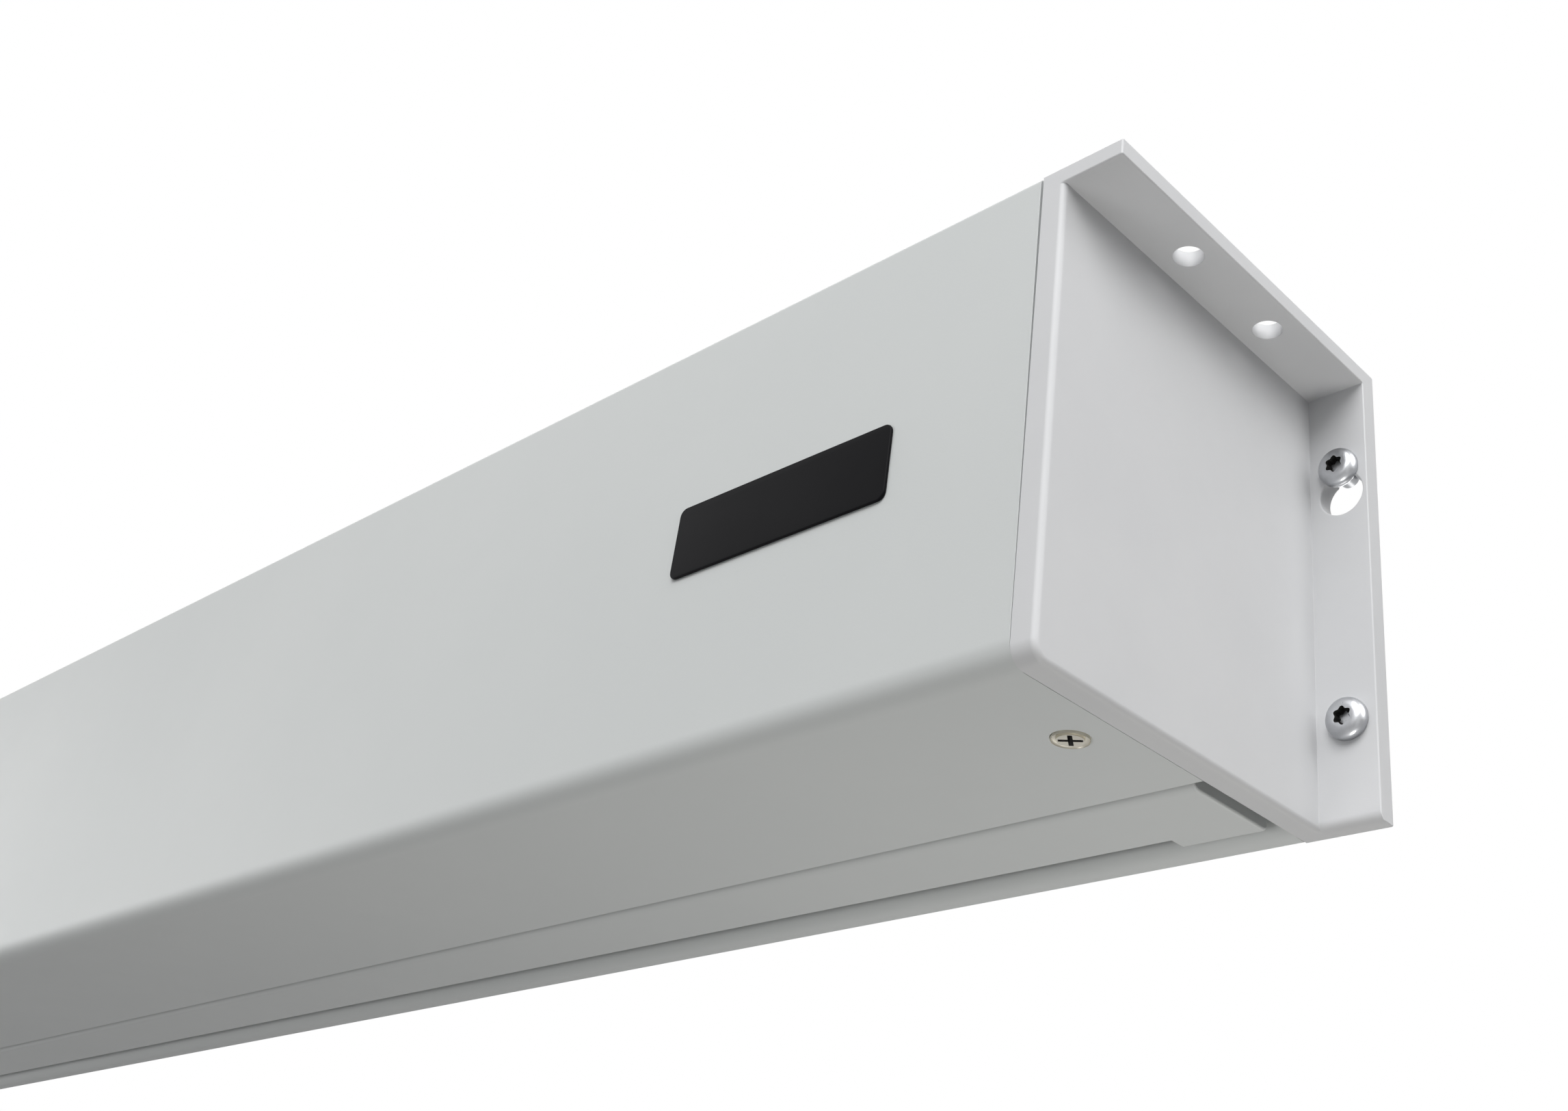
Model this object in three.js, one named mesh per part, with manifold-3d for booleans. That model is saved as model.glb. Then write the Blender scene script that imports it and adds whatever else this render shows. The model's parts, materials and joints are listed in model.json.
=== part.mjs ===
// A motorised projector screen: a painted case between two moulded end caps, a roller driven by
// the tubular motor inside it, the wound cloth, and a weight bar that closes the slot underneath.
// Millimetres. X runs along the case, Y from the front towards the wall, Z up.
// The origin is the middle of the case's rear face, which lies against the wall.

import * as THREE from "three";
import { mergeVertices } from "three/addons/utils/BufferGeometryUtils.js";
import Module from "manifold-3d";

const wasm = await Module();
wasm.setup();

// The cloth
const pictureWidth = 1800;
const pictureHeight = 1012.5;
const sideBorder = 40;
const bottomBorder = 40;
const leader = 240;
const clothThickness = 0.42;
const spareTurns = 2;

// The case
const caseHeight = 110;
const caseDepth = 98.7;
const caseWall = 2;
const caseFrontRadius = 5;
const caseEdgeRadius = 1.2;
const slotWidth = 31;
const slotRearLip = 7.5;
const slotLipHeight = 7;

// The end caps
const capPlate = 5.6;
const capCornerRadius = 3.8;
const capSkirt = 22;
const capSkirtWall = 2;
const capSkirtFoot = 10;
const bossWidth = 12;
const bossHeight = 8;
const flangeReach = 14.2;
const topFlange = 4;
const backFlange = 4.8;
const ceilingHoleRadius = 3.3;
const ceilingHoleInset = 7;
const ceilingHoleFront = 33.7;
const ceilingHoleSpacing = 31;
const wallHoleInset = 7.7;
const wallHoleHeight = 23;
const keyholeBelowTop = 25.3;
const keyholeRadius = 5.25;
const keyholeDrop = 6.3;

// The countersunk screws that hold the caps in the case
const capScrewInset = 15.9;
const lowerScrewFront = 31.2;
const upperScrewFront = 62;
const capScrewRadius = 2;
const capScrewLength = 10;
const capScrewHeadRadius = 4;
const capScrewHeadHeight = 2.2;
const capScrewSink = 0.15;
const crossLength = 4.4;
const crossWidth = 0.9;
const crossDepth = 1.4;

// The pan head screws in the wall flanges
const wallScrewRadius = 2.5;
const wallScrewHeadRadius = 5;
const wallScrewHeadHeight = 3.1;
const wallScrewHeadFlat = 1.2;
const lobedSocketRadius = 2.2;
const lobedSocketWave = 0.35;
const lobedSocketDepth = 1.7;

// The brackets at both ends, and their screws
const bracketSetback = 3;
const bracketThickness = 2.5;
const bracketCorner = 5;
const bracketScrewInset = 6;
const bracketScrewRadius = 1.9;
const bracketScrewLength = 6.5;
const bracketScrewHeadRadius = 3.6;
const bracketScrewHeadHeight = 2.2;

// The roller
const tubeWall = 1.6;
const tubeOverCloth = 10;
const rollerTopGap = 4.5;
const rollFrontGap = 4.06;
const kederGrooveRadius = 2.6;
const kederGrooveWall = 1.4;
const kederNeck = 2.4;
const plugFlangeRim = 1;
const plugFlange = 1.5;
const plugDepth = 26;
const crownDepth = 14;
const bushWall = 3.8;
const pinRadius = 5;
const pinShoulderRadius = 8;
const pinShoulder = 2;
const pinRivetRadius = 4;
const pinTail = 5.5;
const clipThickness = 1.2;
const clipWidth = 3.6;
const clipGrooveDepth = 0.8;

// The tubular motor
const motorGap = 4.5;
const motorWall = 1.2;
const motorHeadGap = 2.1;
const motorFootGap = 1.9;
const motorFootBelow = 4;
const motorNeck = 34;
const motorStud = 10;
const capacitorLength = 60;
const statorLength = 130;
const brakeLength = 28;
const gearboxLength = 115;
const noseLength = 8;
const shaftRadius = 6;
const wheelLength = 18;
const limitScrewRadius = 3;
const limitScrewLength = 6.5;
const limitScrewStickOut = 2.5;
const limitScrewInset = 18;
const limitScrewEdge = 4.1;
const limitScrewSpacing = 8;
const hexSocketRadius = 1.6;
const hexSocketDepth = 3;
const accessHoleRadius = 3.2;

// The wiring inside the motor end
const leadRadius = 3;
const leadInset = 20;
const leadSpacing = 12;
const leadSag = 2;
const leadBend = 12;
const terminalInset = 60;
const terminalFront = 13.6;
const terminalLength = 40;
const terminalWidth = 18;
const terminalHeight = 17.7;
const terminalCorner = 2;
const leadEntryHeight = 12;
const terminalScrewRadius = 2;
const terminalScrewLength = 6;
const terminalScrewSink = 1;
const terminalScrewSpacing = 11;
const screwSlotWidth = 0.8;
const screwSlotDepth = 1;
const grommetBoreRadius = 3.5;
const grommetNeckRadius = 6;
const grommetLipRadius = 8;
const grommetFlangeRadius = 9;
const grommetLip = 1.5;
const grommetFront = 15;

// The weight bar
const barWidth = 24.2;
const barHeight = 22;
const barWall = 1.6;
const barRadius = 1;
const barLift = 0.4;
const barFrontGap = 1.3;
const barBackGap = 0.8;
const barEndGap = 4.2;
const barOverCloth = 10;
const barCapLength = 20.2;
const barCapRadius = 1.5;
const barCapTongue = 15;
const barFloorHeight = 10.8;
const barGrooveRadius = 3;
const barGrooveWall = 1.6;
const barGrooveNeck = 2.2;
const ballastRadius = 4.8;

// The blank nameplate on the front
const plateWidth = 64;
const plateHeight = 18;
const plateThickness = 0.8;
const plateRadius = 2;
const plateInset = 72.5;
const plateCentreHeight = 53.6;

// Gaps and cutting
const fit = 0.3;
const threadGap = 0.15;
const runningGap = 0.15;
const overrun = 1;
const weld = 1e-4;
const cornerSteps = 4;
const boltSides = 16;
const smallSides = 12;
const rollSides = 40;
const leadSides = 8;
const leadSteps = 16;
const socketLobes = 6;
const sidesPerLobe = 4;

// Sizes that follow
const clothWidth = pictureWidth + 2 * sideBorder;
const travel = leader + pictureHeight + bottomBorder;
const halfFace = clothWidth / 2 + barOverCloth + barCapLength + barEndGap + capPlate;
const halfCase = halfFace - capPlate - fit;
const slotBack = caseDepth - slotRearLip;
const slotFront = slotBack - slotWidth;
const barFront = slotFront + barFrontGap;
const clothFront = barFront + barWidth / 2;
const rollRadius = (clothFront - clothThickness / 2 - fit - caseWall - rollFrontGap) / 2;
const spareCloth = spareTurns * clothThickness;
const tubeSquare = rollRadius ** 2 - (clothThickness * travel) / Math.PI;
const tubeRadius = Math.sqrt(tubeSquare + spareCloth ** 2) - spareCloth;
const rollerFront = clothFront - rollRadius - fit - clothThickness / 2;
const rollerHeight = caseHeight - caseWall - rollerTopGap - rollRadius;
const tubeInner = tubeRadius - tubeWall;
const tubeEnd = clothWidth / 2 + tubeOverCloth - halfFace;
const grooveCentre = tubeRadius - kederGrooveWall - kederGrooveRadius;
const bracketSize = 2 * (tubeRadius - bracketSetback);
const bracketScrewSpacing = bracketSize - 2 * bracketScrewInset;
const motorRadius = grooveCentre - kederGrooveRadius - kederGrooveWall - motorGap;
const motorHeadRadius = bracketScrewSpacing * Math.SQRT1_2 - bracketScrewHeadRadius - motorHeadGap;
const motorFootHalf = bracketScrewSpacing / 2 - bracketScrewHeadRadius - motorFootGap;
const motorFootDrop = motorHeadRadius + motorFootBelow;
const wallHoleSpacing = caseHeight - keyholeBelowTop - wallHoleHeight;
const bracketOuter = -capPlate - fit;
const bracketInner = bracketOuter - bracketThickness;
const flangeOuter = tubeEnd + fit + plugFlange;
const skirtGap = caseWall + fit;
const skirtInner = skirtGap + capSkirtWall;
const grommetHeight = (skirtInner + rollerHeight - bracketSize / 2) / 2;
const barHalf = clothWidth / 2 + barOverCloth;
const barEnd = barHalf - halfFace;

// Points of a closed outline from its corners [x, y, radius]: each corner is rounded by an arc.
function outline(corners) {
  const points = [];
  corners.forEach(([x, y, radius = 0], i) => {
    const corner = new THREE.Vector2(x, y);
    if (radius <= 0) {
      points.push(corner);
      return;
    }
    const before = new THREE.Vector2(...corners.at(i - 1).slice(0, 2)).sub(corner);
    const after = new THREE.Vector2(...corners[(i + 1) % corners.length].slice(0, 2)).sub(corner);
    const room = Math.min(before.length(), after.length()) / 2;
    before.normalize();
    after.normalize();
    const halfAngle = Math.acos(before.dot(after)) / 2;
    const reach = Math.min(radius / Math.tan(halfAngle), room);
    const arcRadius = reach * Math.tan(halfAngle);
    const middle = before.clone().add(after).normalize();
    const centre = corner.clone().addScaledVector(middle, arcRadius / Math.sin(halfAngle));
    const first = before.multiplyScalar(reach).add(corner).sub(centre);
    const last = after.multiplyScalar(reach).add(corner).sub(centre);
    const sweep = Math.atan2(first.cross(last), first.dot(last));
    for (let step = 0; step <= cornerSteps; step += 1) {
      const angle = (sweep * step) / cornerSteps;
      points.push(first.clone().rotateAround(new THREE.Vector2(), angle).add(centre));
    }
  });
  return points;
}

function box(x0, y0, x1, y1, radius = 0) {
  return outline([
    [x0, y0, radius],
    [x1, y0, radius],
    [x1, y1, radius],
    [x0, y1, radius],
  ]);
}

function circle(x, y, radius, sides = boltSides) {
  return Array.from({ length: sides }, (_, i) => {
    const angle = (2 * Math.PI * i) / sides;
    return new THREE.Vector2(x + radius * Math.cos(angle), y + radius * Math.sin(angle));
  });
}

function extrude(points, depth, holes) {
  const shape = new THREE.Shape(points);
  shape.holes = holes.map((hole) => new THREE.Path(hole));
  return new THREE.ExtrudeGeometry(shape, { depth, bevelEnabled: false });
}

const xAxis = new THREE.Vector3(1, 0, 0);
const yAxis = new THREE.Vector3(0, 1, 0);
const zAxis = new THREE.Vector3(0, 0, 1);

// An outline drawn in Y and Z, pulled along X from one place to the other.
function alongX(points, from, to, holes = []) {
  const turned = new THREE.Matrix4().makeBasis(yAxis, zAxis, xAxis);
  return extrude(points, to - from, holes).applyMatrix4(turned).translate(from, 0, 0);
}

// An outline drawn in X and Z, pulled along Y.
function alongY(points, from, to, holes = []) {
  const turned = new THREE.Matrix4().makeBasis(xAxis, zAxis, yAxis.clone().negate());
  return extrude(points, to - from, holes).applyMatrix4(turned).translate(0, to, 0);
}

// An outline drawn in X and Y, pulled along Z.
function alongZ(points, from, to, holes = []) {
  return extrude(points, to - from, holes).translate(0, 0, from);
}

// A turned piece on the X axis from its profile [radius, x], drawn with x falling.
function turnedOnX(profile, sides = boltSides) {
  const points = profile.map(([radius, x]) => new THREE.Vector2(radius, -x));
  return new THREE.LatheGeometry(points, sides).rotateZ(Math.PI / 2);
}

// A turned ring closes its profile on its first point.
function ringOnX(profile, sides = boltSides) {
  return turnedOnX([...profile, profile[0]], sides);
}

function solid(geometry) {
  const bare = geometry.clone();
  bare.deleteAttribute("normal");
  bare.deleteAttribute("uv");
  const merged = mergeVertices(bare, weld);
  return new wasm.Manifold(
    new wasm.Mesh({
      numProp: 3,
      vertProperties: merged.getAttribute("position").array,
      triVerts: new Uint32Array(merged.index.array),
    }),
  );
}

function geometryOf(manifold) {
  const mesh = manifold.getMesh();
  const geometry = new THREE.BufferGeometry();
  geometry.setAttribute("position", new THREE.BufferAttribute(mesh.vertProperties, 3));
  geometry.setIndex(new THREE.BufferAttribute(mesh.triVerts, 1));
  geometry.computeVertexNormals();
  return geometry;
}

function cut(body, ...tools) {
  return geometryOf(tools.reduce((left, tool) => left.subtract(solid(tool)), solid(body)));
}

function join(...pieces) {
  return geometryOf(pieces.map(solid).reduce((whole, one) => whole.add(one)));
}

// Finishes as the photograph shows them, or as such parts usually have them
const finishes = {
  paint: { color: "#d3d7d5", roughness: 0.45, metalness: 0 },
  moulding: { color: "#dcdce2", roughness: 0.4, metalness: 0 },
  zincSteel: { color: "#b9bcc0", roughness: 0.3, metalness: 1 },
  nickel: { color: "#c9c6b8", roughness: 0.28, metalness: 1 },
  aluminium: { color: "#c3c5c7", roughness: 0.4, metalness: 1 },
  cloth: { color: "#f1f1ee", roughness: 0.9, metalness: 0 },
  blackPlastic: { color: "#1c1d1f", roughness: 0.5, metalness: 0 },
  whiteNylon: { color: "#e9e7df", roughness: 0.5, metalness: 0 },
  rubber: { color: "#26272a", roughness: 0.8, metalness: 0 },
  copperWinding: { color: "#8c5a3c", roughness: 0.5, metalness: 0.3 },
  redPlastic: { color: "#b3322b", roughness: 0.45, metalness: 0 },
  amberPlastic: { color: "#d8a32a", roughness: 0.45, metalness: 0 },
  darkPlate: { color: "#17181a", roughness: 0.35, metalness: 0.2 },
};

function place(parent, name, finish, geometry) {
  const mesh = new THREE.Mesh(geometry, new THREE.MeshStandardMaterial(finishes[finish]));
  mesh.name = name;
  parent.add(mesh);
}

function groupAt(parent, x, y, z) {
  const group = new THREE.Group();
  group.position.set(x, y, z);
  parent.add(group);
  return group;
}

// The two screws of one cap: the face that each sinks into, and which way it points from there
function capScrewPlaces() {
  return [
    { which: "lower", front: lowerScrewFront, up: 1, seat: 0 },
    { which: "upper", front: upperScrewFront, up: -1, seat: caseHeight },
  ];
}

// A turned piece on Z that starts at the seat and points up or down, from its profile [radius, depth].
function turnedInward(profile, x, { front, up, seat }) {
  const points = profile.map(([radius, depth]) => new THREE.Vector2(radius, depth));
  const geometry = new THREE.LatheGeometry(points, boltSides).rotateX(Math.PI / 2);
  if (up < 0) geometry.rotateX(Math.PI);
  return geometry.translate(x, front, seat);
}

function casePiece() {
  const top = caseHeight - caseWall;
  const back = caseDepth - caseWall;
  const innerRadius = caseFrontRadius - caseWall;
  const section = outline([
    [slotFront, 0],
    [0, 0, caseFrontRadius],
    [0, caseHeight, caseEdgeRadius],
    [caseDepth, caseHeight, caseEdgeRadius],
    [caseDepth, 0, caseEdgeRadius],
    [slotBack, 0],
    [slotBack, slotLipHeight],
    [slotBack + caseWall, slotLipHeight],
    [slotBack + caseWall, caseWall],
    [back, caseWall],
    [back, top],
    [caseWall, top],
    [caseWall, caseWall, innerRadius],
    [slotFront - caseWall, caseWall],
    [slotFront - caseWall, slotLipHeight],
    [slotFront, slotLipHeight],
  ]);
  const slope = (capScrewHeadRadius - capScrewRadius) / capScrewHeadHeight;
  const mouth = capScrewHeadRadius + threadGap + slope * capScrewSink;
  const countersink = [
    [0, -overrun],
    [mouth + slope * overrun, -overrun],
    [mouth - slope * (caseWall + overrun), caseWall + overrun],
    [0, caseWall + overrun],
  ];
  const holes = [-1, 1].flatMap((side) =>
    capScrewPlaces().map((at) => turnedInward(countersink, side * (halfFace - capScrewInset), at)),
  );
  const access = limitScrewFronts().map((front) =>
    alongZ(circle(limitScrewInset - halfFace, front, accessHoleRadius), -overrun, caseWall + overrun),
  );
  return cut(alongX(section, -halfCase, halfCase), ...holes, ...access);
}

// Where the two limit screws stand, from the front
function limitScrewFronts() {
  const lower = rollerFront + motorFootHalf - limitScrewEdge;
  return [lower - limitScrewSpacing, lower];
}

function keyhole() {
  const narrow = wallScrewRadius + fit;
  const top = wallHoleHeight + wallHoleSpacing;
  const bottom = top - keyholeDrop;
  const from = caseDepth - backFlange - overrun;
  const to = caseDepth + overrun;
  const slot = box(wallHoleInset - narrow, bottom, wallHoleInset + narrow, top);
  return [
    alongY(circle(wallHoleInset, bottom, keyholeRadius), from, to),
    alongY(circle(wallHoleInset, top, narrow), from, to),
    alongY(slot, from, to),
  ];
}

// One end cap, with its outer face at x = 0: plate, flanges, and the skirt that fits in the case
function capPiece(isMotorEnd) {
  const plate = outline([
    [0, 0, capCornerRadius],
    [caseDepth, 0],
    [caseDepth, caseHeight],
    [0, caseHeight],
  ]);
  const back = caseDepth - skirtGap;
  const foot = slotFront - caseWall - fit;
  const skirt = outline([
    [foot, skirtGap],
    [skirtGap, skirtGap, caseFrontRadius - skirtGap],
    [skirtGap, caseHeight - skirtGap],
    [back, caseHeight - skirtGap],
    [back, capSkirtFoot],
    [back - capSkirtWall, capSkirtFoot],
    [back - capSkirtWall, caseHeight - skirtInner],
    [skirtInner, caseHeight - skirtInner],
    [skirtInner, skirtInner],
    [foot, skirtInner],
  ]);
  const skirtEnd = -capPlate - capSkirt;
  const bosses = capScrewPlaces().map(({ front, up, seat }) => {
    const low = seat + up * skirtGap;
    const high = seat + up * (skirtInner + bossHeight);
    const half = bossWidth / 2;
    const section = box(front - half, Math.min(low, high), front + half, Math.max(low, high));
    return alongX(section, -capScrewInset - bossWidth / 2, -capPlate + overrun);
  });
  const body = join(
    alongX(plate, -capPlate, 0),
    alongX(box(0, caseHeight - topFlange, caseDepth, caseHeight), -overrun, flangeReach),
    alongX(box(caseDepth - backFlange, 0, caseDepth, caseHeight), -overrun, flangeReach),
    alongX(skirt, skirtEnd, -capPlate + overrun),
    ...bosses,
  );
  const pilot = [
    [0, 0],
    [capScrewRadius + threadGap, 0],
    [capScrewRadius + threadGap, capScrewSink + capScrewLength + fit],
    [0, capScrewSink + capScrewLength + fit],
  ];
  const tools = capScrewPlaces().map((at) => turnedInward(pilot, -capScrewInset, at));
  for (const step of [0, ceilingHoleSpacing]) {
    const hole = circle(ceilingHoleInset, ceilingHoleFront + step, ceilingHoleRadius);
    tools.push(alongZ(hole, caseHeight - topFlange - overrun, caseHeight + overrun));
  }
  const wallHole = circle(wallHoleInset, wallHoleHeight, wallScrewRadius + fit);
  tools.push(...keyhole());
  tools.push(alongY(wallHole, caseDepth - backFlange - overrun, caseDepth + overrun));
  const screwEnd = bracketInner + bracketScrewLength + fit;
  for (const [y, z] of bracketScrewPlaces()) {
    const radius = bracketScrewRadius + threadGap;
    const hole = circle(rollerFront + y, rollerHeight + z, radius, smallSides);
    tools.push(alongX(hole, -capPlate - overrun, screwEnd));
  }
  if (isMotorEnd) {
    const grommetHole = circle(grommetFront, grommetHeight, grommetNeckRadius + fit);
    tools.push(alongX(grommetHole, -capPlate - overrun, overrun));
    for (const front of limitScrewFronts()) {
      const hole = circle(-limitScrewInset, front, accessHoleRadius);
      tools.push(alongZ(hole, 0, skirtInner + overrun));
    }
  }
  return cut(body, ...tools);
}

function capScrew(at) {
  const { front, up, seat } = at;
  const end = capScrewSink + capScrewLength;
  const shape = [
    [0, capScrewSink],
    [capScrewHeadRadius, capScrewSink],
    [capScrewRadius, capScrewSink + capScrewHeadHeight],
    [capScrewRadius, end - capScrewRadius / 2],
    [capScrewRadius / 2, end],
    [0, end],
  ];
  const ends = [seat - up * overrun, seat + up * (capScrewSink + crossDepth)];
  const low = Math.min(...ends);
  const high = Math.max(...ends);
  const recess = crossArms(-capScrewInset, front).map((arm) => alongZ(arm, low, high));
  return cut(turnedInward(shape, -capScrewInset, at), ...recess);
}

// The two arms of a cross recess
function crossArms(x, y) {
  const arm = crossLength / 2;
  const half = crossWidth / 2;
  return [box(x - arm, y - half, x + arm, y + half), box(x - half, y - arm, x + half, y + arm)];
}

// A six lobed socket outline, whose radius waves round the middle
function lobedSocket(x, y) {
  const sides = socketLobes * sidesPerLobe;
  return Array.from({ length: sides }, (_, i) => {
    const angle = (2 * Math.PI * i) / sides;
    const radius = lobedSocketRadius + lobedSocketWave * (Math.cos(socketLobes * angle) - 1);
    return new THREE.Vector2(x + radius * Math.cos(angle), y + radius * Math.sin(angle));
  });
}

function wallScrewPlaces() {
  return [
    ["lower", wallHoleHeight],
    ["upper", wallHoleHeight + wallHoleSpacing],
  ];
}

function wallScrew(height) {
  const seat = caseDepth - backFlange;
  const crown = wallScrewHeadHeight - wallScrewHeadFlat;
  const dome = Array.from({ length: cornerSteps - 1 }, (_, i) => {
    const angle = (Math.PI * (i + 1)) / (2 * cornerSteps);
    const radius = wallScrewHeadRadius * (1 + Math.cos(angle));
    return [radius / 2, -wallScrewHeadFlat - crown * Math.sin(angle)];
  });
  const shape = [
    [0, backFlange - fit],
    [wallScrewRadius, backFlange - fit],
    [wallScrewRadius, 0],
    [wallScrewHeadRadius, 0],
    [wallScrewHeadRadius, -wallScrewHeadFlat],
    ...dome,
    [wallScrewHeadRadius / 2, -wallScrewHeadHeight],
    [0, -wallScrewHeadHeight],
  ];
  const points = shape.map(([radius, y]) => new THREE.Vector2(radius, y)).reverse();
  const screw = new THREE.LatheGeometry(points, boltSides).translate(wallHoleInset, seat, height);
  const top = seat - wallScrewHeadHeight;
  const socket = lobedSocket(wallHoleInset, height);
  return cut(screw, alongY(socket, top - overrun, top + lobedSocketDepth));
}

function bracketScrewPlaces() {
  const half = bracketScrewSpacing / 2;
  return [-half, half].flatMap((y) => [-half, half].map((z) => [y, z]));
}

// A square steel bracket about the roller's axis, with the hole in its middle as given
function bracket(middle) {
  const half = bracketSize / 2;
  const radius = bracketScrewRadius + threadGap;
  const holes = bracketScrewPlaces().map(([y, z]) => circle(y, z, radius, smallSides));
  const plate = box(-half, -half, half, half, bracketCorner);
  return alongX(plate, bracketInner, bracketOuter, [middle, ...holes]);
}

function bracketScrew(y, z) {
  const start = bracketInner - bracketScrewHeadHeight;
  const shape = [
    [0, bracketInner + bracketScrewLength],
    [bracketScrewRadius / 2, bracketInner + bracketScrewLength],
    [bracketScrewRadius, bracketInner + bracketScrewLength - bracketScrewRadius],
    [bracketScrewRadius, bracketInner],
    [bracketScrewHeadRadius, bracketInner],
    [bracketScrewHeadRadius, bracketInner - bracketScrewHeadHeight / 2],
    [bracketScrewHeadRadius / 2, start],
    [0, start],
  ];
  const recess = crossArms(y, z).map((arm) => alongX(arm, start - overrun, start + crossDepth));
  return cut(turnedOnX(shape, smallSides).translate(0, y, z), ...recess);
}

function placeBracketScrews(axis, side) {
  bracketScrewPlaces().forEach(([y, z], i) => {
    place(axis, `bracket_screw_${side}_${i + 1}`, "zincSteel", bracketScrew(y, z));
  });
}

// The groove of the tube stands inwards, so what fits in the tube has a keyway for it
function keyway(from, to) {
  return alongX(circle(0, grooveCentre, kederGrooveRadius + kederGrooveWall + fit), from, to);
}

function rollerTube() {
  const half = clothWidth / 2 + tubeOverCloth;
  const groove = kederGrooveRadius + kederGrooveWall;
  const shell = alongX(circle(0, 0, tubeRadius, rollSides), -half, half);
  const bore = alongX(circle(0, 0, tubeInner, rollSides), -half - overrun, half + overrun);
  const ridge = alongX(circle(0, grooveCentre, groove), -half, half);
  const pocket = alongX(circle(0, grooveCentre, kederGrooveRadius), -half - overrun, half + overrun);
  const neck = box(-kederNeck / 2, grooveCentre, kederNeck / 2, tubeRadius + overrun);
  const slit = alongX(neck, -half - overrun, half + overrun);
  const trimmed = geometryOf(solid(ridge).intersect(solid(shell)));
  return cut(join(cut(shell, bore), trimmed), pocket, slit);
}

function rollerParts(axis) {
  const half = clothWidth / 2;
  const keder = kederGrooveRadius - fit;
  const inner = circle(0, 0, tubeRadius + fit, rollSides);
  place(axis, "roller_tube", "aluminium", rollerTube());
  place(axis, "tube_keder", "blackPlastic", alongX(circle(0, grooveCentre, keder), -half, half));
  place(axis, "screen_roll", "cloth", alongX(circle(0, 0, rollRadius, rollSides), -half, half, [inner]));
}

// A plug with a flange against the tube's end, from its bore to the tube's inside
function tubePlug(bore, depth) {
  const seat = tubeEnd + fit;
  const body = ringOnX(
    [
      [bore, flangeOuter],
      [tubeRadius + plugFlangeRim, flangeOuter],
      [tubeRadius + plugFlangeRim, seat],
      [tubeInner - fit, seat],
      [tubeInner - fit, tubeEnd - depth],
      [bore, tubeEnd - depth],
    ],
    rollSides,
  );
  return cut(body, keyway(tubeEnd - depth - overrun, seat));
}

function clip(bore, x) {
  return ringOnX([
    [bore, x],
    [bore + clipWidth, x],
    [bore + clipWidth, x - clipThickness],
    [bore, x - clipThickness],
  ]);
}

function idleParts(axis) {
  const bushBore = pinRadius + runningGap;
  const bushOuter = bushBore + bushWall;
  const plugEnd = tubeEnd - plugDepth;
  const grooveStart = plugEnd - clipThickness;
  const grooveEnd = grooveStart - clipThickness - 2 * fit;
  const grooveRadius = pinRadius - clipGrooveDepth;
  const pinEnd = plugEnd - pinTail;
  const shoulder = bracketInner - fit;
  const pin = [
    [0, bracketOuter - fit],
    [pinRivetRadius, bracketOuter - fit],
    [pinRivetRadius, shoulder],
    [pinShoulderRadius, shoulder],
    [pinShoulderRadius, shoulder - pinShoulder],
    [pinRadius, shoulder - pinShoulder],
    [pinRadius, grooveStart],
    [grooveRadius, grooveStart],
    [grooveRadius, grooveEnd],
    [pinRadius, grooveEnd],
    [pinRadius, pinEnd + clipGrooveDepth],
    [grooveRadius, pinEnd],
    [0, pinEnd],
  ];
  const bush = [
    [bushBore, flangeOuter],
    [bushOuter, flangeOuter],
    [bushOuter, plugEnd],
    [bushBore, plugEnd],
  ];
  place(axis, "bearing_bracket", "zincSteel", bracket(circle(0, 0, pinRivetRadius + fit)));
  placeBracketScrews(axis, "right");
  place(axis, "idle_pin", "zincSteel", turnedOnX(pin));
  place(axis, "idle_bush", "whiteNylon", ringOnX(bush));
  place(axis, "idle_plug", "blackPlastic", tubePlug(bushOuter + fit, plugDepth));
  place(axis, "pin_clip", "nickel", clip(grooveRadius + threadGap, grooveStart - fit));
}

function motorHead(start, neckEnd) {
  const outer = bracketInner - fit;
  const half = motorStud / 2;
  const foot = box(-motorFootHalf, -motorFootDrop, motorFootHalf, 0);
  const body = join(
    alongX(circle(0, 0, motorHeadRadius, rollSides), start, outer),
    alongX(foot, start, outer),
    alongX(circle(0, 0, motorRadius, rollSides), neckEnd, start + overrun),
    alongX(box(-half, -half, half, half), outer - overrun, bracketOuter - fit),
  );
  const depth = limitScrewLength - limitScrewStickOut;
  const wells = limitScrewFronts().map((front) => {
    const hole = circle(-limitScrewInset, front - rollerFront, limitScrewRadius + runningGap);
    return alongZ(hole, -motorFootDrop - overrun, depth + fit - motorFootDrop);
  });
  return cut(body, ...wells);
}

function limitScrew(front) {
  const bottom = -motorFootDrop - limitScrewStickOut;
  const y = front - rollerFront;
  const socket = circle(-limitScrewInset, y, hexSocketRadius, socketLobes);
  return cut(
    alongZ(circle(-limitScrewInset, y, limitScrewRadius), bottom, bottom + limitScrewLength),
    alongZ(socket, bottom - overrun, bottom + hexSocketDepth),
  );
}

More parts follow.
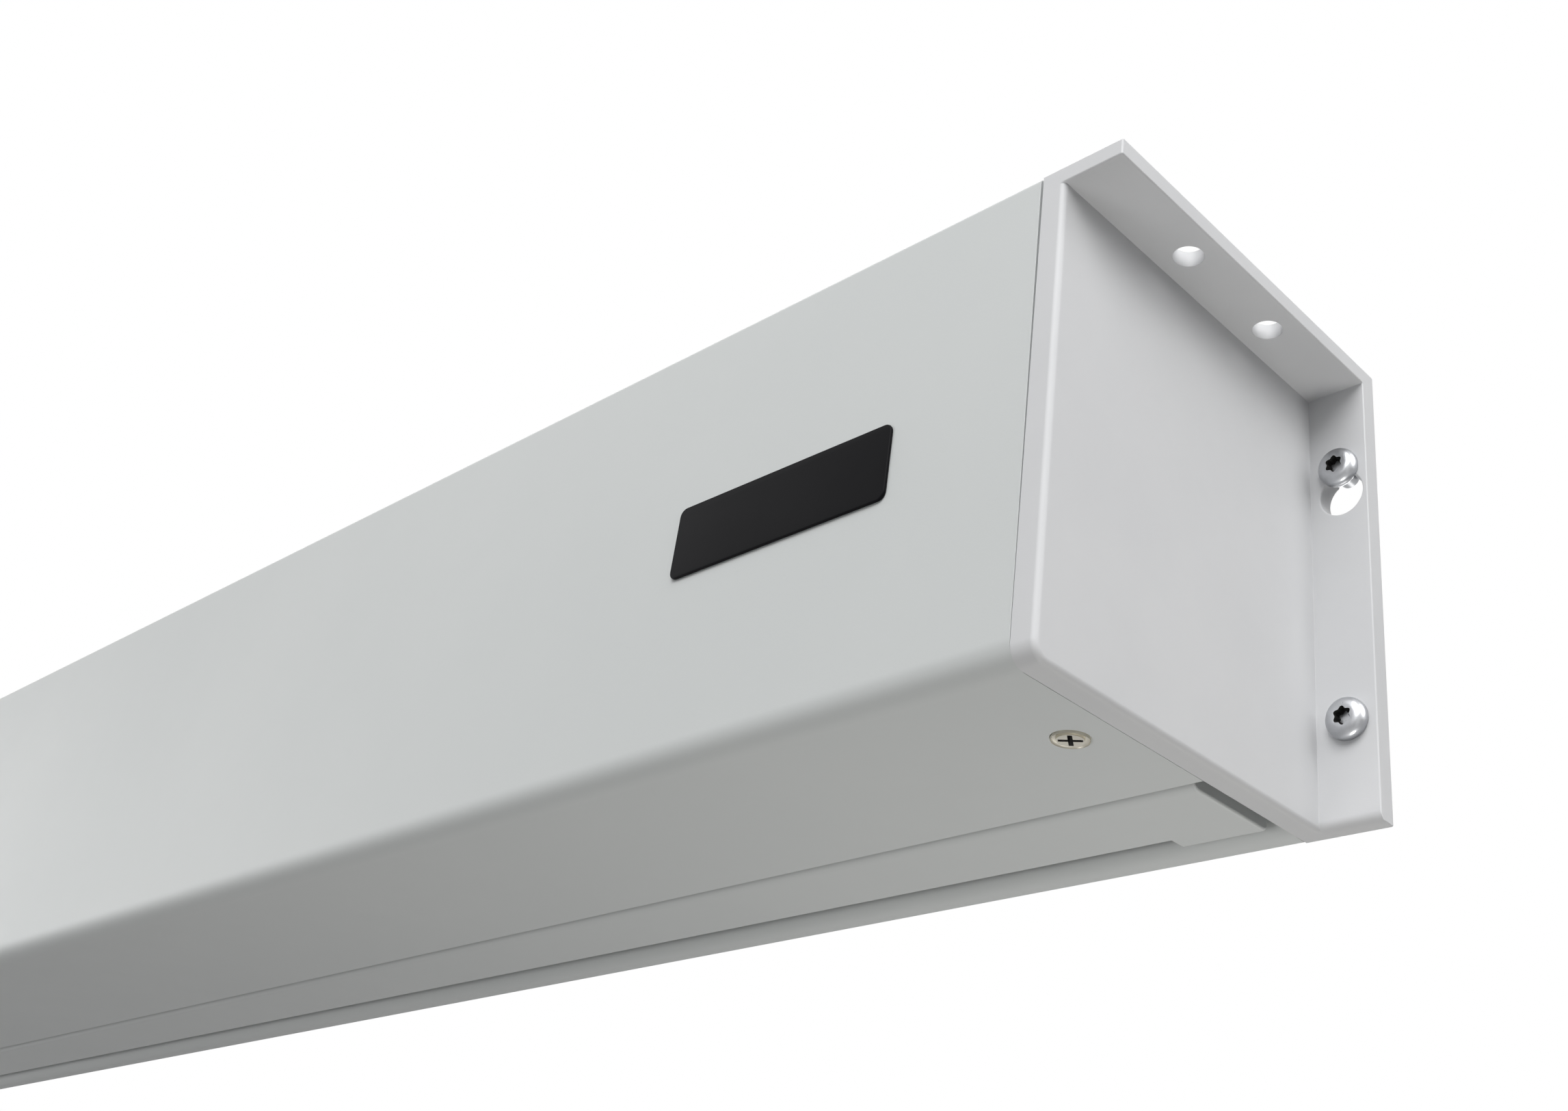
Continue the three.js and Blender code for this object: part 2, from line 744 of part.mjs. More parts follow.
// The motor's inner units lie end to end in its tube, from the head to the gearbox
function motorParts(axis) {
  const half = motorStud / 2 + fit;
  const start = flangeOuter + fit;
  const neckEnd = tubeEnd - motorNeck;
  place(axis, "motor_bracket", "zincSteel", bracket(box(-half, -half, half, half)));
  placeBracketScrews(axis, "left");
  place(axis, "motor_head", "blackPlastic", motorHead(start, neckEnd));
  const coreRadius = motorRadius - motorWall - fit;
  const tubeStart = neckEnd - fit;
  let at = tubeStart;
  for (const [name, finish, length] of [
    ["run_capacitor", "whiteNylon", capacitorLength],
    ["motor_stator", "copperWinding", statorLength],
    ["motor_brake", "zincSteel", brakeLength],
    ["gearbox", "zincSteel", gearboxLength],
  ]) {
    place(axis, name, finish, alongX(circle(0, 0, coreRadius), at - length, at));
    at -= length + fit;
  }
  const bore = circle(0, 0, motorRadius - motorWall, rollSides);
  const shell = circle(0, 0, motorRadius, rollSides);
  place(axis, "motor_tube", "zincSteel", alongX(shell, at, tubeStart, [bore]));
  const noseEnd = at - fit - noseLength;
  const noseBore = circle(0, 0, shaftRadius + runningGap);
  place(axis, "motor_nose", "blackPlastic", alongX(shell, noseEnd, at - fit, [noseBore]));
  const wheelStart = noseEnd - fit;
  const wheelEnd = wheelStart - wheelLength;
  const grooveStart = wheelEnd - fit;
  const grooveEnd = grooveStart - clipThickness - 2 * fit;
  const grooveRadius = shaftRadius - clipGrooveDepth;
  const shaftEnd = grooveEnd - clipThickness;
  const shaft = [
    [0, at - fit],
    [shaftRadius, at - fit],
    [shaftRadius, grooveStart],
    [grooveRadius, grooveStart],
    [grooveRadius, grooveEnd],
    [shaftRadius, grooveEnd],
    [shaftRadius, shaftEnd],
    [0, shaftEnd],
  ];
  const wheel = circle(0, 0, tubeInner - fit, rollSides);
  const wheelBore = circle(0, 0, shaftRadius + threadGap);
  place(axis, "output_shaft", "zincSteel", turnedOnX(shaft));
  place(
    axis,
    "drive_wheel",
    "whiteNylon",
    cut(alongX(wheel, wheelEnd, wheelStart, [wheelBore]), keyway(wheelEnd - overrun, wheelStart + overrun)),
  );
  place(axis, "shaft_clip", "nickel", clip(grooveRadius + threadGap, grooveStart - fit));
  place(axis, "crown_ring", "whiteNylon", tubePlug(motorRadius + fit, crownDepth));
  const [upper, lower] = limitScrewFronts();
  place(axis, "upper_limit_screw", "redPlastic", limitScrew(upper));
  place(axis, "lower_limit_screw", "amberPlastic", limitScrew(lower));
}

function terminalScrewPlaces() {
  const middle = -terminalInset - terminalLength / 2;
  return [-terminalScrewSpacing, 0, terminalScrewSpacing].map((step) => middle + step);
}

function wiringParts(end) {
  const top = skirtGap + terminalHeight;
  const wellFloor = top - terminalScrewSink - terminalScrewLength;
  const half = terminalWidth / 2;
  const blockEnd = -terminalInset - terminalLength;
  const plan = box(blockEnd, terminalFront - half, -terminalInset, terminalFront + half, terminalCorner);
  const block = alongZ(plan, skirtGap, top);
  const wells = terminalScrewPlaces().map((x) =>
    alongZ(circle(x, terminalFront, terminalScrewRadius + threadGap), wellFloor - fit, top + overrun),
  );
  place(end, "terminal_block", "blackPlastic", cut(block, ...wells));
  const screwTop = top - terminalScrewSink;
  const slotHalf = screwSlotWidth / 2;
  const slotReach = terminalScrewRadius + overrun;
  terminalScrewPlaces().forEach((x, i) => {
    const slot = box(x - slotReach, terminalFront - slotHalf, x + slotReach, terminalFront + slotHalf);
    const screw = cut(
      alongZ(circle(x, terminalFront, terminalScrewRadius), wellFloor, screwTop),
      alongZ(slot, screwTop - screwSlotDepth, screwTop + overrun),
    );
    place(end, `terminal_screw_${i + 1}`, "nickel", screw);
  });

  const start = rollerHeight - motorFootDrop - fit;
  const leadFront = limitScrewFronts()[0] - leadSpacing;
  const route = new THREE.CubicBezierCurve3(
    new THREE.Vector3(-leadInset, leadFront, start),
    new THREE.Vector3(-leadInset, leadFront, leadEntryHeight + leadSag),
    new THREE.Vector3(-leadInset - leadBend, terminalFront, leadEntryHeight),
    new THREE.Vector3(fit - terminalInset, terminalFront, leadEntryHeight),
  );
  const section = new THREE.Shape(circle(0, 0, leadRadius, leadSides));
  const lead = new THREE.ExtrudeGeometry(section, { steps: leadSteps, extrudePath: route });
  place(end, "motor_lead", "blackPlastic", lead);

  const inner = -capPlate - fit;
  const grommet = ringOnX([
    [grommetBoreRadius, fit + grommetLip],
    [grommetLipRadius, fit + grommetLip],
    [grommetFlangeRadius, fit + grommetLip / 2],
    [grommetFlangeRadius, fit],
    [grommetNeckRadius, fit],
    [grommetNeckRadius, inner],
    [grommetLipRadius, inner],
    [grommetLipRadius, inner - grommetLip],
    [grommetBoreRadius, inner - grommetLip],
  ]);
  place(end, "cable_grommet", "rubber", grommet.translate(0, grommetFront, grommetHeight));
}

// The weight bar, drawn from its lower front edge
function barGrooveHeight() {
  return barHeight - barGrooveWall - barGrooveRadius;
}

function barProfile() {
  const floor = barWall + barFloorHeight;
  const wing = barWidth / 2 - barGrooveRadius - barGrooveWall;
  const section = box(0, 0, barWidth, barHeight, barRadius);
  const wingTop = barHeight - barWall;
  const chambers = [
    box(barWall, barWall, barWidth - barWall, floor),
    box(barWall, floor + barWall, wing, wingTop),
    box(barWidth - wing, floor + barWall, barWidth - barWall, wingTop),
  ];
  const height = barGrooveHeight();
  const middle = barWidth / 2;
  const neck = box(middle - barGrooveNeck / 2, height, middle + barGrooveNeck / 2, barHeight + overrun);
  const groove = circle(middle, height, barGrooveRadius);
  const hollows = [...chambers, groove, neck];
  const tools = hollows.map((each) => alongX(each, -barHalf - overrun, barHalf + overrun));
  return cut(alongX(section, -barHalf, barHalf), ...tools);
}

function barCap() {
  const width = slotWidth - barFrontGap - barBackGap;
  const gap = barWall + fit;
  const tongue = box(gap, gap, barWidth - gap, barWall + barFloorHeight - fit);
  return join(
    alongX(box(0, 0, width, barHeight, barCapRadius), barEnd + fit, barEnd + barCapLength),
    alongX(tongue, barEnd - barCapTongue, barEnd + fit + overrun),
  );
}

function barParts(bar) {
  const rodHalf = barHalf - barCapTongue - fit;
  const middle = barWidth / 2;
  const rod = circle(middle, barWall + ballastRadius + fit, ballastRadius);
  const keder = circle(middle, barGrooveHeight(), barGrooveRadius - fit);
  place(bar, "bar_profile", "paint", barProfile());
  place(bar, "ballast_rod", "zincSteel", alongX(rod, -rodHalf, rodHalf));
  place(bar, "bar_keder", "blackPlastic", alongX(keder, -clothWidth / 2, clothWidth / 2));
}

function clothPiece() {
  const bottom = barLift + barGrooveHeight() + barGrooveRadius;
  const half = clothThickness / 2;
  const section = box(clothFront - half, bottom, clothFront + half, rollerHeight);
  return alongX(section, -clothWidth / 2, clothWidth / 2);
}

function nameplate() {
  const low = plateCentreHeight - plateHeight / 2;
  const left = -plateInset - plateWidth / 2;
  const face = box(left, low, left + plateWidth, low + plateHeight, plateRadius);
  return alongY(face, -plateThickness, 0);
}

// One end of the screen, drawn with the cap's outer face at x = 0 and the case on the minus side
function endParts(shell, side) {
  const sign = side === "right" ? 1 : -1;
  const end = groupAt(shell, sign * halfFace, 0, 0);
  end.scale.x = sign;
  place(end, `end_cap_${side}`, "moulding", capPiece(side === "left"));
  for (const at of capScrewPlaces()) {
    place(end, `cap_screw_${side}_${at.which}`, "nickel", capScrew(at));
  }
  for (const [which, height] of wallScrewPlaces()) {
    place(end, `wall_screw_${side}_${which}`, "zincSteel", wallScrew(height));
  }
  const bar = groupAt(end, 0, barFront, barLift);
  place(bar, `bar_cap_${side}`, "moulding", barCap());
  const axis = groupAt(end, 0, rollerFront, rollerHeight);
  return { end, axis };
}

const screen = new THREE.Group();
const shell = groupAt(screen, 0, -caseDepth, -caseHeight / 2);
place(shell, "case_profile", "paint", casePiece());
place(shell, "screen_sheet", "cloth", clothPiece());
rollerParts(groupAt(shell, 0, rollerFront, rollerHeight));
barParts(groupAt(shell, 0, barFront, barLift));
const right = endParts(shell, "right");
const left = endParts(shell, "left");
idleParts(right.axis);
motorParts(left.axis);
wiringParts(left.end);
place(right.end, "nameplate", "darkPlate", nameplate());

export default screen;
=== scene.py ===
"""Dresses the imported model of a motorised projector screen: the coated case with its moulded end caps,
the screws, the cloth on its roller, the weight bar and the motor. Everything is in metres, in the
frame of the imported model: X along the case, Y into the wall, Z up."""

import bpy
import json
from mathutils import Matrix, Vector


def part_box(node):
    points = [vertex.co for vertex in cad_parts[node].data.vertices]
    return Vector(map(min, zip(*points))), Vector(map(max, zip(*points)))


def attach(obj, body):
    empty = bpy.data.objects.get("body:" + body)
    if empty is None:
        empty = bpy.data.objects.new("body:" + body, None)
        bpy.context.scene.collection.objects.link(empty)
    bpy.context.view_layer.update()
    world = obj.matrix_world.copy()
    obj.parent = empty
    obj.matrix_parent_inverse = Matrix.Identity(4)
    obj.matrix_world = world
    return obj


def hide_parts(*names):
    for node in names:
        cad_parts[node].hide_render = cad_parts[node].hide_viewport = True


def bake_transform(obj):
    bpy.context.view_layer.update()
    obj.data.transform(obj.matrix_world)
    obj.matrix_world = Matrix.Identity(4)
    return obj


bl_info = {
    "name": "Motorised projector screen",
    "version": (1, 0, 0),
    "blender": (4, 5, 0),
    "location": "3D View > Sidebar > Screen",
    "description": "Finishes the packed model of a motorised projector screen",
    "category": "Object",
}

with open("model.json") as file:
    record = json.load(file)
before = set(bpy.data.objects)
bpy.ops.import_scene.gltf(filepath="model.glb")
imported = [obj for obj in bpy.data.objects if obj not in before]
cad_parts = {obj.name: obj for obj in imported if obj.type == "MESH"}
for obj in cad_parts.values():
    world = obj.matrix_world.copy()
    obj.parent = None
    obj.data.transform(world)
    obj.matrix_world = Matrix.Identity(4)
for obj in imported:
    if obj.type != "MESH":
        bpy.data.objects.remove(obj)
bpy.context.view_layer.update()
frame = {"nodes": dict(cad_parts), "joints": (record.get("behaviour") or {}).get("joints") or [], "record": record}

import json
import math

import bmesh
import bpy
import numpy as np
from bpy.props import FloatProperty, FloatVectorProperty, PointerProperty
from mathutils import Euler

MM = 0.001
SIDES = {"right": 1, "left": -1}


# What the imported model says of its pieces


class Box:
    """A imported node's box: its lowest and highest corner, its size and its middle."""

    def __init__(self, node):
        self.low, self.high = [np.array(corner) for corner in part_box(node)]
        self.size = self.high - self.low
        self.middle = (self.low + self.high) / 2

    def face(self, axis, sign):
        """Middle of the side at which the axis goes in, or comes out where the sign is negative."""
        place = self.middle.copy()
        i = "xyz".index(axis)
        place[i] = (self.low if sign > 0 else self.high)[i]
        return place


CASE = Box("case_profile")
SHEET = Box("screen_sheet")
JOINTS = {joint["name"]: joint for joint in frame["joints"]}
ROLLER_AXIS = np.array(JOINTS["roller_spin"]["pos_m"])
TRAVEL = JOINTS["screen_drop"]["range_m"][1]
BODY_OF = {node: body for body, nodes in frame["record"]["behaviour"]["bodies"].items() for node in nodes}
SLOT_OF = {part["node"]: part["material_slot"] for part in frame["record"]["subparts"]}
OPENINGS = {
    opening["name"]: np.mean(opening["box_m"], axis=0)
    for opening in frame["record"]["physics"]["openings"]
}

FINISH_OF = {
    "case_coat": "Case coat",
    "cap_moulding": "Cap moulding",
    "screw_zinc": "Zinc plating",
    "cap_screw_nickel": "Nickel plating",
    "plate_dark": "Dark plate",
    "screen_cloth": "Cloth front",
    "tube_aluminium": "Tube aluminium",
    "bracket_zinc": "Bracket zinc",
    "clip_steel": "Spring steel",
    "motor_steel": "Motor steel",
    "stator_winding": "Copper winding",
    "white_nylon": "White nylon",
    "black_plastic": "Black plastic",
    "black_rubber": "Black rubber",
    "red_plastic": "Red plastic",
    "amber_plastic": "Amber plastic",
}


# Sizes and colours that a user would change


def length(name, description, default):
    return FloatProperty(
        name=name, description=description, default=default * MM, min=0, precision=5, unit="LENGTH"
    )


def colour(name, description, default):
    return FloatVectorProperty(
        name=name, description=description, default=default, min=0, max=1, subtype="COLOR"
    )


class ScreenSizes(bpy.types.PropertyGroup):
    """Sizes, given here in millimetres."""

    front_radius: length("Front radius", "Rounding of the case's lower front edge", 5)
    back_radius: length("Edge radius", "Rounding of the case's other long edges", 1.2)
    case_wall: length("Case wall", "Thickness of the extruded case", 2)
    slot_front: length("Slot front", "From the case's front to the slot", 60.2)
    slot_width: length("Slot width", "Width of the slot underneath", 31)
    lip_height: length("Lip height", "Height of the lips along the slot", 7)
    slot_edge: length("Slot edge", "Rounding of the slot's rear edge", 4)
    cut_edge: length("Cut edge", "Rounding of cut edges on the case", 0.25)
    seam_gap: length("Seam gap", "How much wider the seam is than the packed one, at the top", 0.3)
    seam_taper: length("Seam taper", "How much narrower the seam is at the bottom than at the top", 0.5)
    seam_edge: length("Seam edge", "Rounding of the edges along a seam", 0.08)
    flange_reach: length("Flange reach", "How far the flanges stand out from the end cap", 14.2)
    flange_depth: length("Flange depth", "Thickness of the wall flange", 4.8)
    cap_rim: length("Cap rim", "Rounding of the end cap's front and lower rim", 1.3)
    cap_edge: length("Cap edge", "Rounding of the end cap's other edges", 0.4)
    flange_foot: length("Flange foot", "Rounding of the wall flange's lower front edge", 2.4)
    ceiling_hole: length("Ceiling hole", "Radius of the holes in the top flange", 3.35)
    keyhole: length("Keyhole", "Radius of the wide end of the keyhole", 5.3)
    keyhole_drop: length("Keyhole drop", "From the screw to the middle of the keyhole's wide end", 6.3)
    countersink: length("Countersink", "Radius of the countersink's mouth", 4.1)
    head_rise: length("Head rise", "How far the cap screws' heads stand out of the case", 0.5)
    access_hole: length("Access hole", "Radius of the holes to the limit screws", 3.2)
    bar_corner: length("Bar corner", "Rounding of the weight bar's front edges", 2.6)
    bar_setback: length("Bar setback", "How far the bar's front stands back from the packed one", 1.1)
    bar_end_edge: length("Bar end edge", "Rounding of the weight bar's outer ends", 0.7)
    picture_width: length("Picture width", "Width of the white picture area", 1800)
    picture_height: length("Picture height", "Height of the white picture area", 1012.5)
    lower_border: length("Lower border", "Height of the black border under the picture", 40)
    cloth_thickness: length("Cloth thickness", "Thickness of the coated cloth", 0.42)


class ScreenColours(bpy.types.PropertyGroup):
    """Colours of the surfaces that show, as linear light."""

    coat: colour("Case coat", "Satin powder coat of the case", (0.655, 0.675, 0.67))
    coat_drift: colour("Case coat drift", "Slightly darker areas of the coat", (0.63, 0.652, 0.648))
    moulding: colour("Cap moulding", "Moulded plastic of the end caps", (0.675, 0.68, 0.69))
    moulding_drift: colour("Moulding drift", "Slightly darker areas of the moulding", (0.65, 0.656, 0.668))
    zinc: colour("Zinc plating", "Bright zinc plated steel", (0.58, 0.59, 0.61))
    nickel: colour("Nickel plating", "Nickel plated steel", (0.68, 0.65, 0.56))
    cloth: colour("Cloth", "White front of the cloth", (0.86, 0.86, 0.85))
    # Painted shade: this dark colour on the walls of the screws' recesses stands in for the shade that falls
    # inside them.
    recess: colour("Recess painted shade", "Painted shade on the walls of the screws' recesses", (0.035, 0.034, 0.032))
    border: colour("Border", "Black borders and leader of the cloth", (0.012, 0.012, 0.013))
    plate: colour("Nameplate", "Dark coat of the blank nameplate", (0.005, 0.005, 0.006))


# Surfaces: each gives its points and its faces


def ring_faces(rings, around):
    """Four-sided faces between neighbouring rings of points, each ring closed on itself."""
    i, j = np.meshgrid(np.arange(rings - 1), np.arange(around), indexing="ij")
    k = (j + 1) % around
    corners = [i * around + j, i * around + k, (i + 1) * around + k, (i + 1) * around + j]
    return np.stack(corners, axis=-1).reshape(-1, 4).tolist()


def closed_rings(rings):
    """Surface through rings of points given as an array (ring, point, xyz), with a face on each end."""
    count, around = rings.shape[:2]
    first = list(range(around))
    last = list(range((count - 1) * around, count * around))
    return rings.reshape(-1, 3), ring_faces(count, around) + [first, last]


def joined(*surfaces):
    points, faces, start = [], [], 0
    for own, own_faces in surfaces:
        points.append(own)
        faces += [[start + i for i in face] for face in own_faces]
        start += len(own)
    return np.concatenate(points), faces


def rounded_outline(corners, hold=0.4 * MM, step=math.radians(6)):
    """Closed outline through corners (y, z) or (y, z, radius). A corner with a radius is the arc that
    touches both of its lines, with one more point just before and after it to keep the flats flat."""
    places = np.array([corner[:2] for corner in corners], float)
    parts = []
    for i, corner in enumerate(corners):
        place = places[i]
        if len(corner) < 3:
            parts.append(place[None])
            continue
        before = places[i - 1] - place
        after = places[(i + 1) % len(places)] - place
        before /= np.linalg.norm(before)
        after /= np.linalg.norm(after)
        half = math.acos(before @ after) / 2
        reach = corner[2] / math.tan(half)
        towards = (before + after) / np.linalg.norm(before + after)
        centre = place + towards * corner[2] / math.sin(half)
        start = place + before * reach - centre
        end = place + after * reach - centre
        sweep = math.atan2(start[0] * end[1] - start[1] * end[0], start @ end)
        angle = np.linspace(0, sweep, max(2, math.ceil(abs(sweep) / step)) + 1)[:, None]
        across = np.array([-start[1], start[0]])
        arc = centre + np.cos(angle) * start + np.sin(angle) * across
        parts += [[place + before * (reach + hold)], arc, [place + after * (reach + hold)]]
    return np.concatenate(parts)


def swept(outline, start, end):
    """Outline in Y and Z carried along X: point (i, j) is outline point j at end i."""
    x = np.repeat([start, end], len(outline))
    points = np.column_stack([x, np.tile(outline, (2, 1))])
    return closed_rings(points.reshape(2, -1, 3))


def axes_of(axis):
    """Unit vector along the named axis and the two after it."""
    start = "xyz".index(axis)
    return [np.eye(3)[(start + k) % 3] for k in range(3)]


def turned(rings, centre, axis, around=64, sign=1, wave=np.ones_like, turn=0.0):
    """Rings of (radius, place, share) carried round the named axis. Place runs along the axis from the
    centre, and the sign says which way. At angle t the radius is times 1 + share * (wave(t) - 1), so
    that a ring in a recess has the recess's outline, and a ring without a share is a circle."""
    radius, place, share = np.array([(*ring, 0)[:3] for ring in rings], float).T[..., None]
    angle = np.linspace(0, 2 * math.pi, around, endpoint=False)
    reach = radius * (1 + share * (wave(angle + turn) - 1))
    along, up, side = axes_of(axis)
    points = np.asarray(centre) + (sign * place)[..., None] * along
    points = points + (reach * np.cos(angle))[..., None] * up + (reach * np.sin(angle))[..., None] * side
    return closed_rings(points)


def drill(centre, radius, axis, start, end):
    """Round cutter along the axis, from start to end as seen from the centre."""
    return turned([(0, start), (radius, start), (radius, end), (0, end)], centre, axis)


def lobed(angle):
    """Radius of a six-lobed socket, as a share: six waves round the middle."""
    wave = 0.14
    return 1 - wave + wave * np.cos(6 * angle)


def cross(angle, half_width=0.2):
    """Radius of a cross recess, as a share: the end of the nearest of four straight arms, or its side."""
    quarter = math.pi / 2
    off = np.abs((angle + quarter / 2) % quarter - quarter / 2)
    return np.minimum(1 / np.cos(off), half_width / np.maximum(np.sin(off), 1e-6))


def hexagon(angle):
    """Radius of a six-sided socket, as a share of its corner radius."""
    spread = math.pi / 3
    return math.cos(spread / 2) / np.cos((angle + spread / 2) % spread - spread / 2)


def dome_rings(radius, inner, low, high, count=7):
    """Rings of a low dome from its inner radius out to its rim: a quarter of an ellipse."""
    t = np.linspace(0, math.pi / 2, count)
    return list(zip(inner + (radius - inner) * np.sin(t), low + (high - low) * np.cos(t)))


def rounded_block(low, high, corner, rim, axis="x", steps=6):
    """Rounded rectangle carried along one axis. At angle t of each end's quarter round it has drawn in
    by rim * (1 - cos t) while it has moved on by rim * sin t, so all edges are round."""
    a, b, c = [("xyz".index(axis) + k) % 3 for k in range(3)]
    middle, half = (low + high) / 2, (high - low) / 2
    quarter = np.linspace(0, math.pi / 2, steps + 1)
    inset = rim * (1 - np.cos(quarter))
    place = half[a] - rim + rim * np.sin(quarter)
    inset = np.concatenate([inset[::-1], inset])
    place = np.concatenate([-place[::-1], place])
    turn = np.concatenate([quarter + k * math.pi / 2 for k in range(4)])
    sign_u = np.repeat([1, -1, -1, 1], steps + 1)
    sign_v = np.repeat([1, 1, -1, -1], steps + 1)
    radius = np.maximum(corner - inset, rim / 8)[:, None]
    points = np.zeros((len(place), len(turn), 3))
    points[..., a] = middle[a] + place[:, None]
    points[..., b] = middle[b] + sign_u * (half[b] - inset[:, None] - radius) + radius * np.cos(turn)
    points[..., c] = middle[c] + sign_v * (half[c] - inset[:, None] - radius) + radius * np.sin(turn)
    return closed_rings(points)


def grid(*coordinates):
    """Grid of points from one array for each coordinate, stretched to one shape."""
    return np.stack(np.broadcast_arrays(*coordinates), axis=-1)


# Pieces


def mesh_of(name, surface):
    """Mesh of closed surfaces: doubles merged, faces pointing out."""
    points, faces = surface
    mesh = bpy.data.meshes.new(name)
    mesh.from_pydata(points.tolist(), [], faces)
    turn_outwards(mesh)
    return mesh


def turn_outwards(mesh):
    shape = bmesh.new()
    shape.from_mesh(mesh)
    bmesh.ops.remove_doubles(shape, verts=shape.verts, dist=1e-7)
    bmesh.ops.recalc_face_normals(shape, faces=shape.faces)
    if shape.calc_volume(signed=True) < 0:
        bmesh.ops.reverse_faces(shape, faces=shape.faces)
    shape.to_mesh(mesh)
    shape.free()


def settle(mesh, node, slot=None, rides=True):
    """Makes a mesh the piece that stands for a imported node. It rides on the node's body, unless it is
    between two, and has the node's slot and finish, unless it is given another slot."""
    slot = slot or SLOT_OF[node]
    mesh.shade_smooth()
    piece = bpy.data.objects.new(mesh.name, mesh)
    bpy.context.scene.collection.objects.link(piece)
    if rides:
        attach(piece, BODY_OF[node])
    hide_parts(node)
    paint(piece, FINISH_OF[slot])
    return piece


def new_piece(name, surface, node):
    return settle(mesh_of(name, surface), node)


def copy_of(node, name, slot=None):
    """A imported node's mesh as a new piece that stands for it: its loose triangles are merged and flat
    neighbours joined."""
    shape = bmesh.new()
    shape.from_mesh(frame["nodes"][node].data)
    bmesh.ops.remove_doubles(shape, verts=shape.verts, dist=1e-6)
    bmesh.ops.dissolve_limit(shape, angle_limit=math.radians(0.3), verts=shape.verts, edges=shape.edges)
    mesh = bpy.data.meshes.new(name)
    shape.to_mesh(mesh)
    shape.free()
    turn_outwards(mesh)
    return settle(mesh, node, slot)


def carve(piece, *surfaces):
    """Takes closed surfaces out of a piece."""
    cutter = bpy.data.objects.new("cutter", mesh_of("cutter", joined(*surfaces)))
    bpy.context.scene.collection.objects.link(cutter)
    holes = piece.modifiers.new("Holes", "BOOLEAN")
    holes.operation = "DIFFERENCE"
    holes.solver = "EXACT"
    holes.object = cutter
    scene_graph = bpy.context.evaluated_depsgraph_get()
    cut = bpy.data.meshes.new_from_object(piece.evaluated_get(scene_graph))
    if not cut.polygons:
        raise RuntimeError(f"The cut left nothing of {piece.name}")
    piece.modifiers.clear()
    old, piece.data = piece.data, cut
    cut.name = old.name
    spare = [old, cutter.data]
    bpy.data.objects.remove(cutter)
    for mesh in spare:
        bpy.data.meshes.remove(mesh)
    cut.shade_smooth()


def paint(piece, *finishes):
    piece.data.materials.clear()
    for name in finishes:
        piece.data.materials.append(bpy.data.materials[name])


def keep_creases(piece, angle=math.radians(40)):
    piece.data.set_sharp_from_angle(angle=angle)


def break_edges(piece, width, segments=2, angle=math.radians(35)):
    """Rounds every edge sharper than the angle, and keeps the flats flat in the light."""
    bevel = piece.modifiers.new("Edges", "BEVEL")
    bevel.width = width
    bevel.segments = segments
    bevel.limit_method = "ANGLE"
    bevel.angle_limit = angle
    bevel.use_clamp_overlap = True
    bevel.miter_outer = "MITER_ARC"
    even = piece.modifiers.new("Flats", "WEIGHTED_NORMAL")
    even.keep_sharp = True
    return bevel


def weigh_edges(piece, width, bevel):
    """Gives each sharp edge its own rounding: width of an array (edge, end, xyz), in metres. An inward
    corner is rounded by a quarter of that."""
    mesh = piece.data
    shape = bmesh.new()
    shape.from_mesh(mesh)
    turn = np.array([e.calc_face_angle_signed(0) if len(e.link_faces) == 2 else 0 for e in shape.edges])
    ends = np.array([[v.co for v in e.verts] for e in shape.edges])
    shape.free()
    share = width(ends) / bevel.width
    sharp = np.abs(turn) > bevel.angle_limit
    share = np.where(sharp, np.where(turn < 0, share / 4, share), 0)
    weights = mesh.attributes.get("bevel_weight_edge")
    weights = weights or mesh.attributes.new("bevel_weight_edge", "FLOAT", "EDGE")
    weights.data.foreach_set("value", share.astype(np.float32))
    mesh.edges.foreach_set("use_edge_sharp", sharp & (share == 0))
    bevel.limit_method = "WEIGHT"


def run_of(ends):
    """How far each edge runs along X."""
    return np.abs(ends[:, 0, 0] - ends[:, 1, 0])


def get_points(mesh):
    points = np.zeros(len(mesh.vertices) * 3)
    mesh.vertices.foreach_get("co", points)
    return points.reshape(-1, 3)


def widen_front(piece, box, old, new, setback):
    """Moves the points of the rounded long edges at the front of a block along X from the old radius to
    the new one: each keeps its direction from the rounding's middle. The front then stands back."""
    points = get_points(piece.data)
    side = np.where(points < box.middle, box.low, box.high)
    inward = np.where(points < box.middle, 1, -1)
    rounded = (np.abs(points - side)[:, 1:] <= old + 0.01 * MM).all(axis=1) & (side[:, 1] == box.low[1])
    moved = side + inward * new + (points - side - inward * old) * new / old
    points[rounded, 1:] = moved[rounded, 1:]
    points[rounded, 1] += setback
    piece.data.vertices.foreach_set("co", points.ravel())


# Effects that several finishes share


def new_group(name, inputs, outputs):
    """An empty shader group with its sockets; inputs are (name, type, default)."""
    group = bpy.data.node_groups.new(name, "ShaderNodeTree")
    for title, kind, default in inputs:
        socket = group.interface.new_socket(title, in_out="INPUT", socket_type=kind)
        socket.default_value = default
    for title, kind in outputs:
        group.interface.new_socket(title, in_out="OUTPUT", socket_type=kind)
    return group, group.nodes.new("NodeGroupInput").outputs, group.nodes.new("NodeGroupOutput").inputs


def join(tree, value, socket):
    if isinstance(value, bpy.types.NodeSocket):
        tree.links.new(value, socket)
    else:
        socket.default_value = value


def fill(tree, node, inputs):
    """Sets or links a node's inputs by socket name, with _ for a space."""
    for title, value in inputs.items():
        join(tree, value, node.inputs[title.replace("_", " ")])
    return node


def add(tree, kind, **inputs):
    return fill(tree, tree.nodes.new(kind), inputs)


def placed(tree, group, **inputs):
    node = tree.nodes.new("ShaderNodeGroup")
    node.node_tree = bpy.data.node_groups[group]
    return fill(tree, node, inputs)


def where_on(tree, kind="Object"):
    return tree.nodes.new("ShaderNodeTexCoord").outputs[kind]


def between(tree, value, low, high):
    """A value from 0 to 1 carried over to the range from low to high."""
    return add(tree, "ShaderNodeMapRange", Value=value, To_Min=low, To_Max=high).outputs["Result"]


